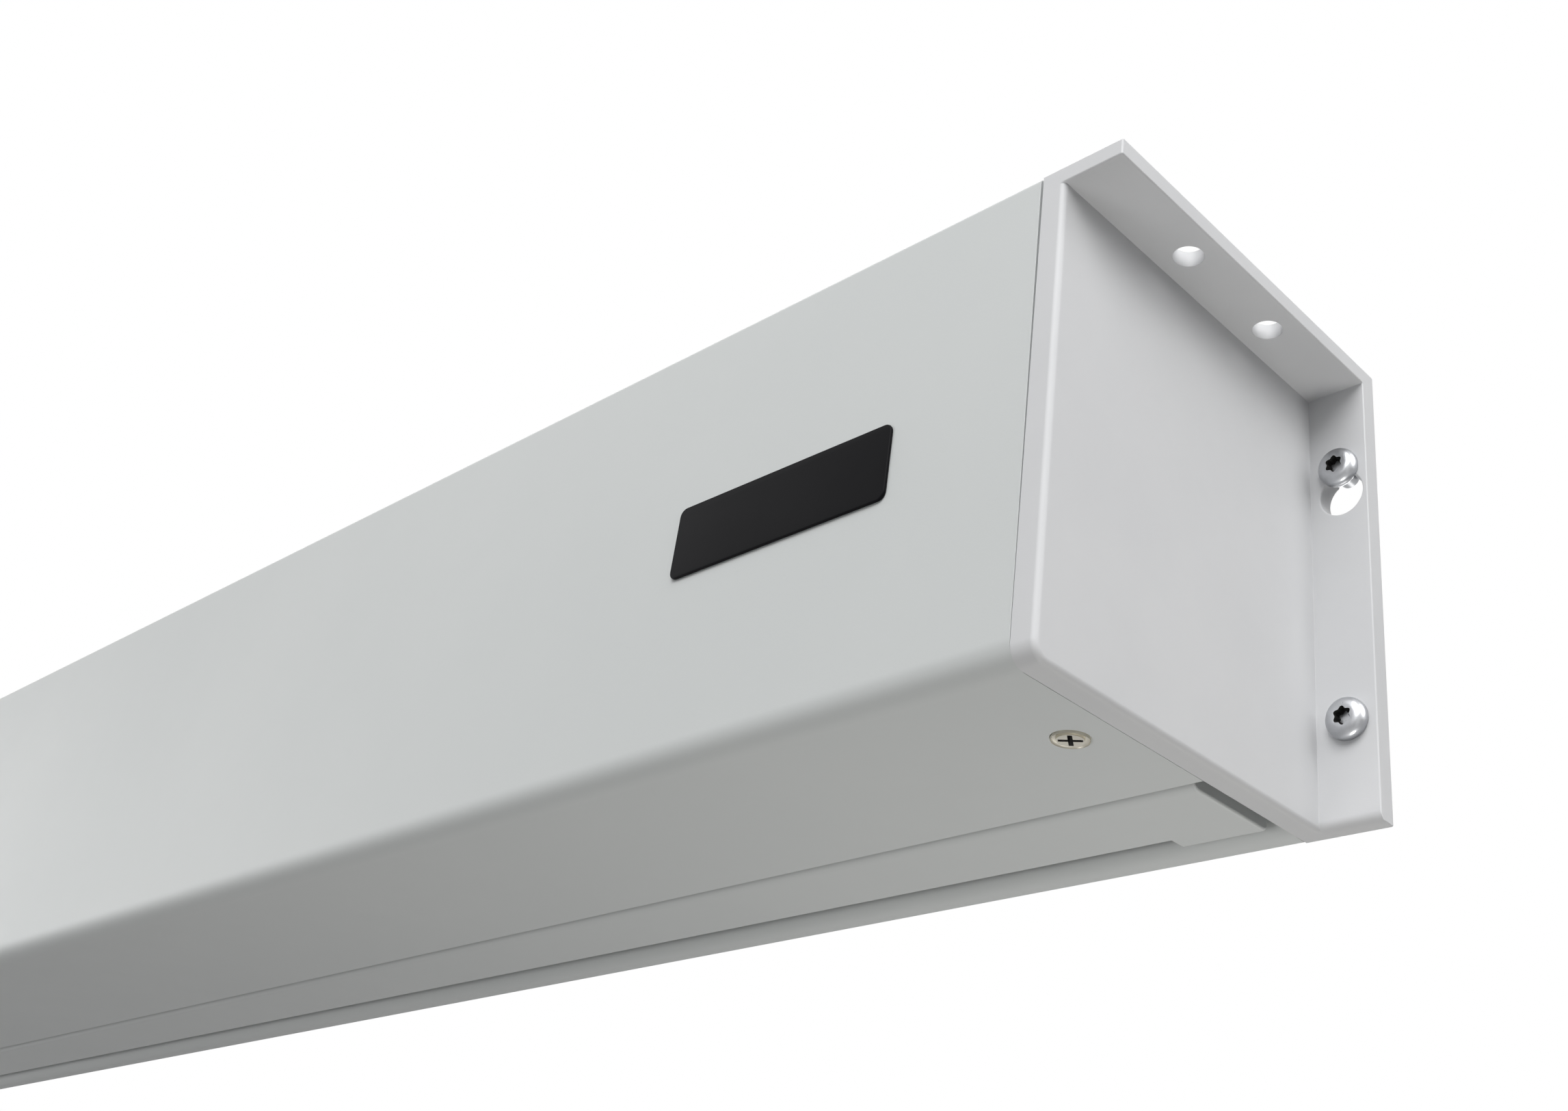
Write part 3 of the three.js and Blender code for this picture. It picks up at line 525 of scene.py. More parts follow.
def mixed(tree, factor, first, second):
    node = tree.nodes.new("ShaderNodeMix")
    node.data_type = "RGBA"
    colours = [socket for socket in node.inputs if socket.type == "RGBA"]
    for value, socket in zip((factor, first, second), (node.inputs[0], *colours)):
        join(tree, value, socket)
    return next(socket for socket in node.outputs if socket.type == "RGBA")


def noise(tree, where, scale, detail=3.0, roughness=0.5):
    node = add(tree, "ShaderNodeTexNoise", Vector=where, Scale=scale, Detail=detail, Roughness=roughness)
    return node.outputs["Fac"]


def math_node(tree, operation, first, second=0.0):
    node = tree.nodes.new("ShaderNodeMath")
    node.operation = operation
    join(tree, first, node.inputs[0])
    join(tree, second, node.inputs[1])
    return node.outputs[0]


def times(tree, first, second):
    return math_node(tree, "MULTIPLY", first, second)


def vary_roughness(group, given, out, value):
    """Roughness that goes up and down by the spread with a value round one half."""
    shift = times(group, math_node(group, "SUBTRACT", value, 0.5), given["Spread"])
    group.links.new(math_node(group, "ADD", given["Roughness"], shift), out["Roughness"])


RELIEF = [("Height", "NodeSocketFloat"), ("Roughness", "NodeSocketFloat")]


def drift_group():
    """Slow drift between two near colours, as a coat or a moulding has over its length."""
    white = (1, 1, 1, 1)
    group, given, out = new_group(
        "Colour drift",
        [("Colour", "NodeSocketColor", white), ("Drift", "NodeSocketColor", white),
         ("Scale", "NodeSocketFloat", 6.0)],
        [("Colour", "NodeSocketColor"), ("Mask", "NodeSocketFloat")],
    )
    cloud = noise(group, where_on(group), given["Scale"], 4.0, 0.6)
    mask = add(group, "ShaderNodeMapRange", Value=cloud, From_Min=0.35, From_Max=0.65).outputs["Result"]
    group.links.new(mixed(group, mask, given["Colour"], given["Drift"]), out["Colour"])
    group.links.new(mask, out["Mask"])


def grain_group():
    """Fine grain with a slower wave under it, and a roughness that follows it a little."""
    group, given, out = new_group(
        "Fine grain",
        [("Grain", "NodeSocketFloat", 2500.0), ("Wave", "NodeSocketFloat", 120.0),
         ("Wave share", "NodeSocketFloat", 0.5), ("Roughness", "NodeSocketFloat", 0.4),
         ("Spread", "NodeSocketFloat", 0.06)],
        RELIEF,
    )
    where = where_on(group)
    fine = noise(group, where, given["Grain"], 2.0, 0.5)
    slow = noise(group, where, given["Wave"], 3.0, 0.5)
    wave = times(group, slow, given["Wave share"])
    group.links.new(math_node(group, "ADD", fine, wave), out["Height"])
    vary_roughness(group, given, out, slow)


def drawn_group():
    """Drawing lines along one axis, as on turned, rolled or extruded metal: noise stretched that way."""
    group, given, out = new_group(
        "Drawn lines",
        [("Stretch", "NodeSocketVector", (1.0, 1.0, 1.0)), ("Roughness", "NodeSocketFloat", 0.3),
         ("Spread", "NodeSocketFloat", 0.2)],
        RELIEF,
    )
    stretched = group.nodes.new("ShaderNodeVectorMath")
    stretched.operation = "MULTIPLY"
    group.links.new(where_on(group), stretched.inputs[0])
    group.links.new(given["Stretch"], stretched.inputs[1])
    lines = noise(group, stretched.outputs["Vector"], 1.0, 4.0, 0.6)
    group.links.new(lines, out["Height"])
    vary_roughness(group, given, out, lines)


def weave_group():
    """Plain weave under a coating: two sine waves over the cloth's own U and V, in metres."""
    group, given, out = new_group("Weave", [("Threads", "NodeSocketFloat", 1600.0)], RELIEF[:1])
    parts = add(group, "ShaderNodeSeparateXYZ", Vector=where_on(group, "UV"))
    turn = times(group, given["Threads"], 2 * math.pi)
    across, along = [math_node(group, "SINE", times(group, parts.outputs[way], turn)) for way in "XY"]
    group.links.new(times(group, across, along), out["Height"])


# Finishes


def new_finish(name):
    made = bpy.data.materials.new(name)
    made.use_nodes = True
    tree = made.node_tree
    tree.nodes.clear()
    shader = tree.nodes.new("ShaderNodeBsdfPrincipled")
    out = tree.nodes.new("ShaderNodeOutputMaterial")
    tree.links.new(shader.outputs["BSDF"], out.inputs["Surface"])
    return tree, shader


def drifting(tree, first, second, scale):
    tint = placed(tree, "Colour drift", Colour=(*first, 1), Drift=(*second, 1), Scale=scale)
    return tint.outputs["Colour"]


def raise_surface(tree, shader, height, depth):
    bump = add(tree, "ShaderNodeBump", Height=height, Distance=depth, Strength=1.0)
    tree.links.new(bump.outputs["Normal"], shader.inputs["Normal"])


def dressed(name, first, second, scale, depth, effect, **inputs):
    """A finish of drifting colour whose relief and roughness come from one of the shared effects."""
    tree, shader = new_finish(name)
    skin = placed(tree, effect, **inputs)
    tree.links.new(drifting(tree, first, second, scale), shader.inputs["Base Color"])
    tree.links.new(skin.outputs["Roughness"], shader.inputs["Roughness"])
    raise_surface(tree, shader, skin.outputs["Height"], depth)
    return shader


def coated(name, first, second, scale, grain, wave_share, roughness, depth, specular=0.5):
    """A coat or a moulding: drifting colour, fine grain."""
    inputs = {"Grain": grain, "Wave_share": wave_share, "Roughness": roughness, "Spread": 0.06}
    shader = dressed(name, first, second, scale, depth * MM, "Fine grain", **inputs)
    shader.inputs["Specular IOR Level"].default_value = specular


METAL_PATCHES = 180.0


def metal(name, first, second, stretch, roughness, spread, depth, shine=1.0):
    """Bare or plated metal: drifting colour, drawing lines. The shine is less on a dull plating."""
    inputs = {"Stretch": stretch, "Roughness": roughness, "Spread": spread}
    shader = dressed(name, first, second, METAL_PATCHES, depth * MM, "Drawn lines", **inputs)
    shader.inputs["Metallic"].default_value = shine


def darker(value, share):
    return tuple(share * part for part in value)


WEAVE_DEPTH = 0.03 * MM
CLOTH_SHINE = 0.25


def cloth_front(colours, sizes):
    """White picture with a black border round it and a black leader over it. U and V are the metres
    from the cloth's left edge and up from the weight bar."""
    tree, shader = new_finish("Cloth front")
    parts = add(tree, "ShaderNodeSeparateXYZ", Vector=where_on(tree, "UV")).outputs
    centre = math_node(tree, "ABSOLUTE", math_node(tree, "SUBTRACT", parts["X"], SHEET.size[0] / 2))
    inside = math_node(tree, "LESS_THAN", centre, sizes.picture_width / 2)
    over = math_node(tree, "GREATER_THAN", parts["Y"], sizes.lower_border)
    under = math_node(tree, "LESS_THAN", parts["Y"], sizes.lower_border + sizes.picture_height)
    picture = times(tree, inside, times(tree, over, under))
    white = drifting(tree, colours.cloth, darker(colours.cloth, 0.985), 3.0)
    tree.links.new(mixed(tree, picture, (*colours.border, 1), white), shader.inputs["Base Color"])
    tree.links.new(between(tree, picture, 0.6, 0.82), shader.inputs["Roughness"])
    shader.inputs["Specular IOR Level"].default_value = CLOTH_SHINE
    shader.inputs["Sheen Weight"].default_value = 0.1
    raise_surface(tree, shader, placed(tree, "Weave").outputs["Height"], WEAVE_DEPTH)


def cloth_back(colours):
    """Black coating on the back of the cloth, over the same weave."""
    tree, shader = new_finish("Cloth back")
    skin = placed(tree, "Fine grain", Grain=900.0, Wave_share=0.8, Roughness=0.55, Spread=0.1)
    tree.links.new(drifting(tree, colours.border, (0.02, 0.02, 0.021), 9.0), shader.inputs["Base Color"])
    tree.links.new(skin.outputs["Roughness"], shader.inputs["Roughness"])
    shader.inputs["Specular IOR Level"].default_value = CLOTH_SHINE
    raise_surface(tree, shader, placed(tree, "Weave").outputs["Height"], WEAVE_DEPTH)


def make_finishes(context):
    """All finishes: the depths of grain and drawing lines are in millimetres, their scales per metre."""
    c = context.scene.screen_colours
    for group in (drift_group, grain_group, drawn_group, weave_group):
        group()
    coated("Case coat", c.coat, c.coat_drift, 7.0, 1900.0, 0.6, 0.42, 0.012)
    coated("Cap moulding", c.moulding, c.moulding_drift, 24.0, 3200.0, 0.4, 0.5, 0.01)
    coated("Dark plate", c.plate, (0.007, 0.007, 0.008), 30.0, 3000.0, 0.3, 0.4, 0.004, specular=0.06)
    coated("Black plastic", (0.022, 0.022, 0.024), (0.03, 0.03, 0.032), 60.0, 2600.0, 0.4, 0.45, 0.012)
    coated("White nylon", (0.66, 0.64, 0.57), (0.6, 0.58, 0.51), 40.0, 2200.0, 0.5, 0.46, 0.01)
    coated("Black rubber", (0.018, 0.018, 0.019), (0.03, 0.03, 0.03), 80.0, 1600.0, 0.6, 0.7, 0.03)
    coated("Red plastic", (0.42, 0.03, 0.022), (0.36, 0.025, 0.02), 90.0, 2400.0, 0.3, 0.34, 0.008)
    coated("Amber plastic", (0.6, 0.32, 0.03), (0.54, 0.28, 0.025), 90.0, 2400.0, 0.3, 0.34, 0.008)
    metal("Zinc plating", c.zinc, darker(c.zinc, 0.8), (500, 500, 500), 0.3, 0.14, 0.008)
    # Painted shade: a dark, rough metal for the walls of the screws' recesses, in place of the shade that falls
    # there.
    metal("Recess painted shade", c.recess, darker(c.recess, 0.7), (500, 500, 500), 0.6, 0.1, 0.01)
    metal("Nickel plating", c.nickel, darker(c.nickel, 0.8), (600, 600, 600), 0.34, 0.14, 0.008, 0.45)
    metal("Bracket zinc", (0.56, 0.57, 0.59), (0.48, 0.49, 0.52), (300, 300, 2500), 0.34, 0.2, 0.02)
    metal("Motor steel", (0.42, 0.43, 0.45), (0.35, 0.36, 0.38), (12, 1800, 1800), 0.36, 0.2, 0.02)
    metal("Spring steel", (0.2, 0.2, 0.21), (0.16, 0.16, 0.17), (900, 900, 900), 0.34, 0.2, 0.01)
    metal("Tube aluminium", (0.66, 0.67, 0.68), (0.58, 0.59, 0.6), (6, 1500, 1500), 0.3, 0.2, 0.02)
    metal("Copper winding", (0.42, 0.17, 0.07), (0.32, 0.12, 0.05), (60, 4000, 4000), 0.36, 0.2, 0.06)
    cloth_front(c, context.scene.screen_sizes)
    cloth_back(c)


# The case


def case_outline(sizes):
    """The extrusion's section: a box open underneath by a slot between two upturned lips."""
    (y0, z0), (y1, z1) = CASE.low[1:], CASE.high[1:]
    wall = sizes.case_wall
    front = y0 + sizes.slot_front
    back = front + sizes.slot_width
    lip = z0 + sizes.lip_height
    return rounded_outline([
        (front, z0), (y0, z0, sizes.front_radius), (y0, z1, sizes.back_radius),
        (y1, z1, sizes.back_radius), (y1, z0, sizes.back_radius), (back, z0, sizes.slot_edge), (back, lip),
        (back + wall, lip), (back + wall, z0 + wall), (y1 - wall, z0 + wall), (y1 - wall, z1 - wall),
        (y0 + wall, z1 - wall), (y0 + wall, z0 + wall, sizes.front_radius - wall),
        (front - wall, z0 + wall), (front - wall, lip), (front, lip),
    ])


def countersink(screw, sizes):
    """Cone round a countersunk screw, from its mouth at the case's face inwards."""
    x, y, z = Box(screw).middle
    face, sign = (CASE.high[2], -1) if z > 0 else (CASE.low[2], 1)
    over = 0.5 * MM
    depth = sizes.case_wall + over
    slope = 0.909
    mouth = sizes.countersink
    cone = [(0, -over), (mouth + slope * over, -over), (mouth - slope * depth, depth), (0, depth)]
    return turned(cone, (x, y, face), "z", sign=sign)


def access_hole(screw, sizes):
    x, y, z = Box(screw).middle
    over = 1 * MM
    return drill((x, y, CASE.low[2]), sizes.access_hole, "z", -over, sizes.case_wall + over)


class SCREEN_OT_case(bpy.types.Operator):
    """Makes the case: its section carried along X, with the countersinks and the access holes cut"""

    bl_idname = "screen.case"
    bl_label = "Case"

    def execute(self, context):
        sizes = context.scene.screen_sizes
        short = sizes.seam_gap
        points, faces = swept(case_outline(sizes), CASE.low[0] + short, CASE.high[0] - short)
        depth = (CASE.high[2] - points[:, 2]) / CASE.size[2]
        points[:, 0] += np.sign(points[:, 0]) * sizes.seam_taper * depth
        piece = new_piece("case", (points, faces), "case_profile")
        screws = [f"cap_screw_{side}_{which}" for side in SIDES for which in ("lower", "upper")]
        cuts = [countersink(screw, sizes) for screw in screws]
        cuts += [access_hole(f"{which}_limit_screw", sizes) for which in ("upper", "lower")]
        carve(piece, *cuts)
        slot_front = CASE.low[1] + sizes.slot_front

        def width(ends):
            at_end = (run_of(ends) < 1 * MM) & (np.abs(ends[:, 0, 0]) > CASE.high[0] - 1 * MM)
            at_slot = np.abs(ends[..., 1] - slot_front).sum(axis=1) < 0.1 * MM
            return np.where(at_end | at_slot, sizes.seam_edge, sizes.cut_edge)

        weigh_edges(piece, width, break_edges(piece, sizes.cut_edge))
        return {"FINISHED"}


# The end caps


class SCREEN_OT_end_caps(bpy.types.Operator):
    """Makes both end caps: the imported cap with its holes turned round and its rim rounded"""

    bl_idname = "screen.end_caps"
    bl_label = "End caps"

    def execute(self, context):
        for side, sign in SIDES.items():
            self.make(context.scene.screen_sizes, side, sign)
        return {"FINISHED"}

    def make(self, sizes, side, sign):
        node = f"end_cap_{side}"
        piece = copy_of(node, f"{node}_moulding")
        top = [OPENINGS[f"ceiling_hole_{side}_{which}"] for which in ("front", "back")]
        through = (-8 * MM, 8 * MM)
        cuts = [drill((x, y, CASE.high[2]), sizes.ceiling_hole, "z", *through) for x, y, z in top]
        x, y, z = Box(f"wall_screw_{side}_upper").middle
        lobe = (x, CASE.high[1], z - sizes.keyhole_drop)
        carve(piece, *cuts, drill(lobe, sizes.keyhole, "y", *through))
        seam = sign * CASE.high[0]
        face = Box(node).face("x", -sign)[0] - sign * sizes.flange_reach
        front, bottom = CASE.low[1:]
        near_rim = 4 * MM
        foot_front, foot_back = -6 * MM, -2 * MM

        def width(ends):
            """The rim, the seam, the wall flange's foot and the round holes each have their own."""
            x, y, z = np.moveaxis(ends, 2, 0)
            rim = np.abs(x - face).sum(axis=1) < 0.02 * MM
            rim &= (y < front + near_rim).all(axis=1) | (z < bottom + near_rim).all(axis=1)
            at_seam = (np.abs(x - seam) < 0.5 * MM).all(axis=1)
            foot = ((z < bottom + 0.1 * MM) & (y > foot_front) & (y < foot_back)).all(axis=1)
            widths = np.where(at_seam, sizes.seam_edge, np.where(foot, sizes.flange_foot, sizes.cap_edge))
            for at in top:
                far = np.hypot(x[:, 0] - at[0], y[:, 0] - at[1])
                widths = np.where(far < sizes.ceiling_hole + 0.1 * MM, sizes.seam_edge, widths)
            return np.where(rim, sizes.cap_rim, widths)

        bevel = break_edges(piece, sizes.flange_foot, segments=4)
        bevel.use_clamp_overlap = False
        weigh_edges(piece, width, bevel)


# The screws. Their rings run from the middle of the recess over the head and down the shank.


def new_screw(node, rings, centre, axis, sign, wave, around, name=None, turn=0.0):
    surface = turned(rings, centre, axis, around, sign, wave, turn)
    piece = new_piece(name or f"{node}_plated", surface, node)
    keep_creases(piece)
    return piece


def paint_recess_shade(piece, centre, axis, sign, depths, radius):
    """Paints shade into a recess's walls, where the shade falls: faces nearer to the axis than the radius,
    between two depths along it from the centre, where the sign says which way is inwards, get the dark finish."""
    mesh = piece.data
    # The second slot is the dark finish of painted shade.
    mesh.materials.append(bpy.data.materials["Recess painted shade"])
    middles = np.zeros(len(mesh.polygons) * 3)
    mesh.polygons.foreach_get("center", middles)
    offset = middles.reshape(-1, 3) - np.asarray(centre)
    along, up, side = axes_of(axis)
    depth = sign * offset @ along
    far = np.hypot(offset @ up, offset @ side)
    inside = (depth > depths[0]) & (depth < depths[1]) & (far < radius)
    mesh.polygons.foreach_set("material_index", inside.astype(int))


class SCREEN_OT_wall_screws(bpy.types.Operator):
    """Makes the pan head screws with six-lobed sockets in the wall flanges"""

    bl_idname = "screen.wall_screws"
    bl_label = "Wall screws"

    def execute(self, context):
        seat = CASE.high[1] - context.scene.screen_sizes.flange_depth
        for side in SIDES:
            for which in ("lower", "upper"):
                self.make(f"wall_screw_{side}_{which}", seat)
        return {"FINISHED"}

    def make(self, node, seat):
        """Places run inwards from the seat on the flange: the head's top is at a negative place."""
        box = Box(node)
        radius = box.size[0] / 2 - 0.3 * MM
        top = box.low[1] - seat
        end = box.high[1] - seat
        shank = 2.5 * MM
        floor = top + 1.9 * MM
        rings = [
            (0, floor), (0.36 * radius, floor, 1), (0.42 * radius, top + 0.35 * MM, 1),
            (0.46 * radius, top + 0.03 * MM, 0.8), (0.53 * radius, top),
            *dome_rings(radius, 0.55 * radius, -1.15 * MM, top + 0.01 * MM),
            (radius, -0.35 * MM), (radius - 0.2 * MM, 0), (shank, 0), (shank, end), (0, end),
        ]
        centre = (box.middle[0], seat, box.middle[2])
        piece = new_screw(node, rings, centre, "y", 1, lobed, 72)
        # Painted shade on the walls of the six-lobed socket.
        paint_recess_shade(piece, centre, "y", 1, (top + 0.05 * MM, floor - 0.1 * MM), 0.47 * radius)


class SCREEN_OT_cap_screws(bpy.types.Operator):
    """Makes the countersunk screws with cross recesses that hold the end caps in the case"""

    bl_idname = "screen.cap_screws"
    bl_label = "Cap screws"

    def execute(self, context):
        rise = context.scene.screen_sizes.head_rise
        for side in SIDES:
            for which, inward in (("lower", 1), ("upper", -1)):
                self.make(f"cap_screw_{side}_{which}", inward, rise)
        return {"FINISHED"}

    def make(self, node, inward, rise):
        box = Box(node)
        radius = box.size[0] / 2 - 0.2 * MM
        end = box.size[2]
        shank = 2 * MM
        rings = [
            (0, 1.6 * MM), (1.2 * MM, 1.5 * MM, 1), (2.3 * MM, 0.12 * MM - rise, 1),
            (2.4 * MM, -0.95 * rise, 1), (2.75 * MM, -rise),
            *dome_rings(radius, 2.8 * MM, -rise, 0.15 * MM), (radius, 0.4 * MM),
            (shank, 2.2 * MM), (shank, end - 1 * MM), (shank / 2, end), (0, end),
        ]
        centre = box.face("z", inward)
        piece = new_screw(node, rings, centre, "z", inward, cross, 96, turn=-math.radians(33))
        # Painted shade on the walls of the cross recess.
        paint_recess_shade(piece, centre, "z", inward, (0.06 * MM - rise, 1.7 * MM), 2.45 * MM)


class SCREEN_OT_bracket_screws(bpy.types.Operator):
    """Makes the pan head screws that hold the two steel brackets"""

    bl_idname = "screen.bracket_screws"
    bl_label = "Bracket screws"

    def execute(self, context):
        for side, out in SIDES.items():
            for number in (1, 2, 3, 4):
                self.make(f"bracket_screw_{side}_{number}", out)
        return {"FINISHED"}

    def make(self, node, out):
        box = Box(node)
        radius = box.size[1] / 2
        end = box.size[0]
        head = 2.2 * MM
        shank = 1.9 * MM
        rings = [
            (0, 1.4 * MM), (1.2 * MM, 1.4 * MM, 1), (2 * MM, 0.1 * MM, 1), (2.3 * MM, 0),
            *dome_rings(radius, 2.4 * MM, 0.9 * MM, 0, 5), (radius, head),
            (shank, head), (shank, end - shank), (shank / 2, end), (0, end),
        ]
        new_screw(node, rings, box.face("x", out), "x", out, cross, 48)


class SCREEN_OT_limit_screws(bpy.types.Operator):
    """Makes the two coloured limit screws with six-sided sockets"""

    bl_idname = "screen.limit_screws"
    bl_label = "Limit screws"

    def execute(self, context):
        for which in ("upper", "lower"):
            self.make(f"{which}_limit_screw")
        return {"FINISHED"}

    def make(self, node):
        box = Box(node)
        radius = box.size[0] / 2
        end = box.size[2]
        socket, floor = 1.6 * MM, 3 * MM
        rings = [
            (0, floor), (socket, floor, 1), (socket, 0.15 * MM, 1), (1.8 * MM, 0, 1),
            (radius - 0.35 * MM, 0), (radius, 0.35 * MM),
            (radius, end - 0.2 * MM), (radius - 0.2 * MM, end), (0, end),
        ]
        new_screw(node, rings, box.face("z", 1), "z", 1, hexagon, 48, name=f"{node}_moulded")


# The nameplate


class SCREEN_OT_nameplate(bpy.types.Operator):
    """Makes the blank nameplate: a thin plate with rounded corners and edges"""

    bl_idname = "screen.nameplate"
    bl_label = "Nameplate"

    def execute(self, context):
        box = Box("nameplate")
        corner, rim = 2 * MM, 0.3 * MM
        block = rounded_block(box.low, box.high, corner, rim, "y")
        keep_creases(new_piece("blank_nameplate", block, "nameplate"))
        return {"FINISHED"}


# The weight bar


class SCREEN_OT_weight_bar(bpy.types.Operator):
    """Makes the weight bar: its extrusion and its two moulded ends, with their edges rounded"""

    bl_idname = "screen.weight_bar"
    bl_label = "Weight bar"

    def execute(self, context):
        sizes = context.scene.screen_sizes
        self.extrusion(sizes)
        for side, sign in SIDES.items():
            self.end(sizes, side, sign)
        return {"FINISHED"}

    def extrusion(self, sizes):
        piece = copy_of("bar_profile", "bar_extrusion")
        packed_corner = 1 * MM
        widen_front(piece, Box("bar_profile"), packed_corner, sizes.bar_corner, sizes.bar_setback)

        def width(ends):
            return np.where(run_of(ends) > 1 * MM, sizes.cut_edge, 0)

        weigh_edges(piece, width, break_edges(piece, sizes.cut_edge))

    def end(self, sizes, side, sign):
        """End piece that closes up to the bar, as both have one coat: only its outer end is rounded."""
        node = f"bar_cap_{side}"
        piece = copy_of(node, f"bar_end_{side}", "case_coat")
        packed_corner = 1.5 * MM
        widen_front(piece, Box(node), packed_corner, sizes.bar_corner, sizes.bar_setback)
        points = get_points(piece.data)
        bar_end = sign * Box("bar_profile").high[0]
        points[np.abs(points[:, 0] - bar_end) < 0.5 * MM, 0] = bar_end
        piece.data.vertices.foreach_set("co", points.ravel())
        out = np.abs(points[:, 0]).max()

        def width(ends):
            at_out = (np.abs(ends[..., 0]) > out - 0.1 * MM).all(axis=1)
            return np.where(at_out, sizes.bar_end_edge, np.where(run_of(ends) > 1 * MM, sizes.cut_edge, 0))

        weigh_edges(piece, width, break_edges(piece, sizes.bar_end_edge, segments=3))


# The cloth


ROUND_STEPS = 72
WOUND_COLUMNS = 9
HANGING_ROWS, HANGING_COLUMNS = 121, 25


def two_sided(front, back):
    """Faces of a thin closed sheet from two equal grids of points (row, column, xyz), with its four
    edges closed, and the side of each: 0 for the front, whose faces come first, and 1 for the rest."""
    rows, columns = front.shape[:2]
    i, j = np.meshgrid(np.arange(rows - 1), np.arange(columns - 1), indexing="ij")
    corner = i * columns + j
    quads = np.stack([corner, corner + 1, corner + columns + 1, corner + columns], axis=-1).reshape(-1, 4)
    count = rows * columns
    border = np.concatenate([
        np.arange(columns),
        np.arange(1, rows) * columns + columns - 1,
        (rows - 1) * columns + np.arange(columns - 2, -1, -1),
        np.arange(rows - 2, 0, -1) * columns,
    ])
    after = np.roll(border, -1)
    rim = np.stack([after, border, border + count, after + count], axis=-1)
    faces = np.concatenate([quads, quads[:, ::-1] + count, rim])
    side = np.concatenate([np.zeros(len(quads), int), np.ones(len(quads) + len(rim), int)])
    return np.concatenate([front.reshape(-1, 3), back.reshape(-1, 3)]), faces, side


def cloth_piece(name, node, layer, thick, uv, rides=True):
    """A sheet of cloth as a thin closed mesh, from its layer of points at a shift from its middle: slot 0
    is its front, slot 1 its back and edges."""
    points, faces, side = two_sided(layer(-thick / 2), layer(thick / 2))
    mesh = bpy.data.meshes.new(name)
    mesh.from_pydata(points.tolist(), [], faces.tolist())
    corner = np.zeros(len(mesh.loops), int)
    mesh.loops.foreach_get("vertex_index", corner)
    both = np.tile(uv.reshape(-1, 2), (2, 1)).astype(np.float32)
    mesh.uv_layers.new(name="Cloth").uv.foreach_set("vector", both[corner].ravel())
    piece = settle(mesh, node, rides=rides)
    keep_creases(piece)
    paint(piece, "Cloth front", "Cloth back")
    mesh.polygons.foreach_set("material_index", side)
    return piece


class SCREEN_OT_wound_cloth(bpy.types.Operator):
    """Winds the cloth on the roller: a spiral from the tube to the place where the cloth leaves it"""

    bl_idname = "screen.wound_cloth"
    bl_label = "Wound cloth"

    def execute(self, context):
        """The radius grows evenly with the angle, which is negative before the place where it leaves."""
        sizes = context.scene.screen_sizes
        thick = sizes.cloth_thickness
        pitch, drawn = 1.02 * thick, 0.96 * thick
        outer = Box("screen_roll").size[2] / 2 - thick / 2
        inner = Box("roller_tube").size[2] / 2 + thick
        turns = (outer - inner) / pitch
        wound = 2 * math.pi * turns
        angle = np.linspace(-wound, 0, math.ceil(ROUND_STEPS * turns) + 1)
        radius = outer + angle / wound * (outer - inner)
        steps = np.hypot(np.diff(radius), radius[1:] * np.diff(angle))
        far = np.concatenate([[0], np.cumsum(steps)])
        far = far - far[-1]
        x = np.linspace(SHEET.low[0], SHEET.high[0], WOUND_COLUMNS)

        def layer(shift):
            reach = radius + shift
            y = ROLLER_AXIS[1] + reach * np.cos(angle)
            z = ROLLER_AXIS[2] + reach * np.sin(angle)
            return grid(x[:, None], y, z)

        total = sizes.lower_border + sizes.picture_height
        uv = grid((x - SHEET.low[0])[:, None], total - far)
        piece = cloth_piece("wound_cloth", "screen_roll", layer, drawn, uv)
        return {"FINISHED"}


class SCREEN_OT_hanging_cloth(bpy.types.Operator):
    """Hangs the stretch of cloth between the roller and the weight bar, as a flat sheet that rides on neither body
    """

    bl_idname = "screen.hanging_cloth"
    bl_label = "Hanging cloth"

    def execute(self, context):
        """A flat sheet whose rows lie at the share s for which 3 s^2 - 2 s^3 is even from 0 to 1, so that
        they are evenly far apart once the bar is down and the blend has stretched them."""
        low, high, y = SHEET.low, SHEET.high, SHEET.middle[1]
        even = np.linspace(0, 1, HANGING_ROWS)
        share = 0.5 - np.sin(np.arcsin(1 - 2 * even) / 3)
        z = high[2] - share * (high[2] - low[2])
        x = np.linspace(low[0], high[0], HANGING_COLUMNS)

        def layer(shift):
            return grid(x, y + shift, z[:, None])

        down = TRAVEL + high[2] - low[2]
        uv = grid(x - low[0], (down * (1 - even))[:, None])
        thick = context.scene.screen_sizes.cloth_thickness
        piece = cloth_piece("hanging_cloth", "screen_sheet", layer, thick, uv, rides=False)
        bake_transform(piece)
        return {"FINISHED"}


# The roller, the motor and what carries them


def finely_turned(node, name, bore=0.0, chamfer=0.3, around=96):
    """A packed cylinder or ring along X as a finely turned piece with broken edges. The bore's radius
    and the chamfer are in millimetres."""
    box = Box(node)
    radius, half = box.size[1] / 2, box.size[0] / 2
    bore, chamfer = bore * MM, chamfer * MM
    rings = [(radius - chamfer, -half), (radius, chamfer - half), (radius, half - chamfer),
             (radius - chamfer, half)]
    if bore:
        start = (bore + chamfer, -half)
        rings = [start, *rings, (bore + chamfer, half), (bore, half - chamfer), (bore, chamfer - half), start]
    else:
        rings = [(0, -half), *rings, (0, half)]
    points, faces = turned(rings, box.middle, "x", around)
    keep_creases(new_piece(name, (points, faces[:-2] if bore else faces), node))


def softened(node, name, width=0.3, segments=2):
    """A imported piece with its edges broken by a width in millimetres."""
    piece = copy_of(node, name)
    break_edges(piece, width * MM, segments)
    return piece


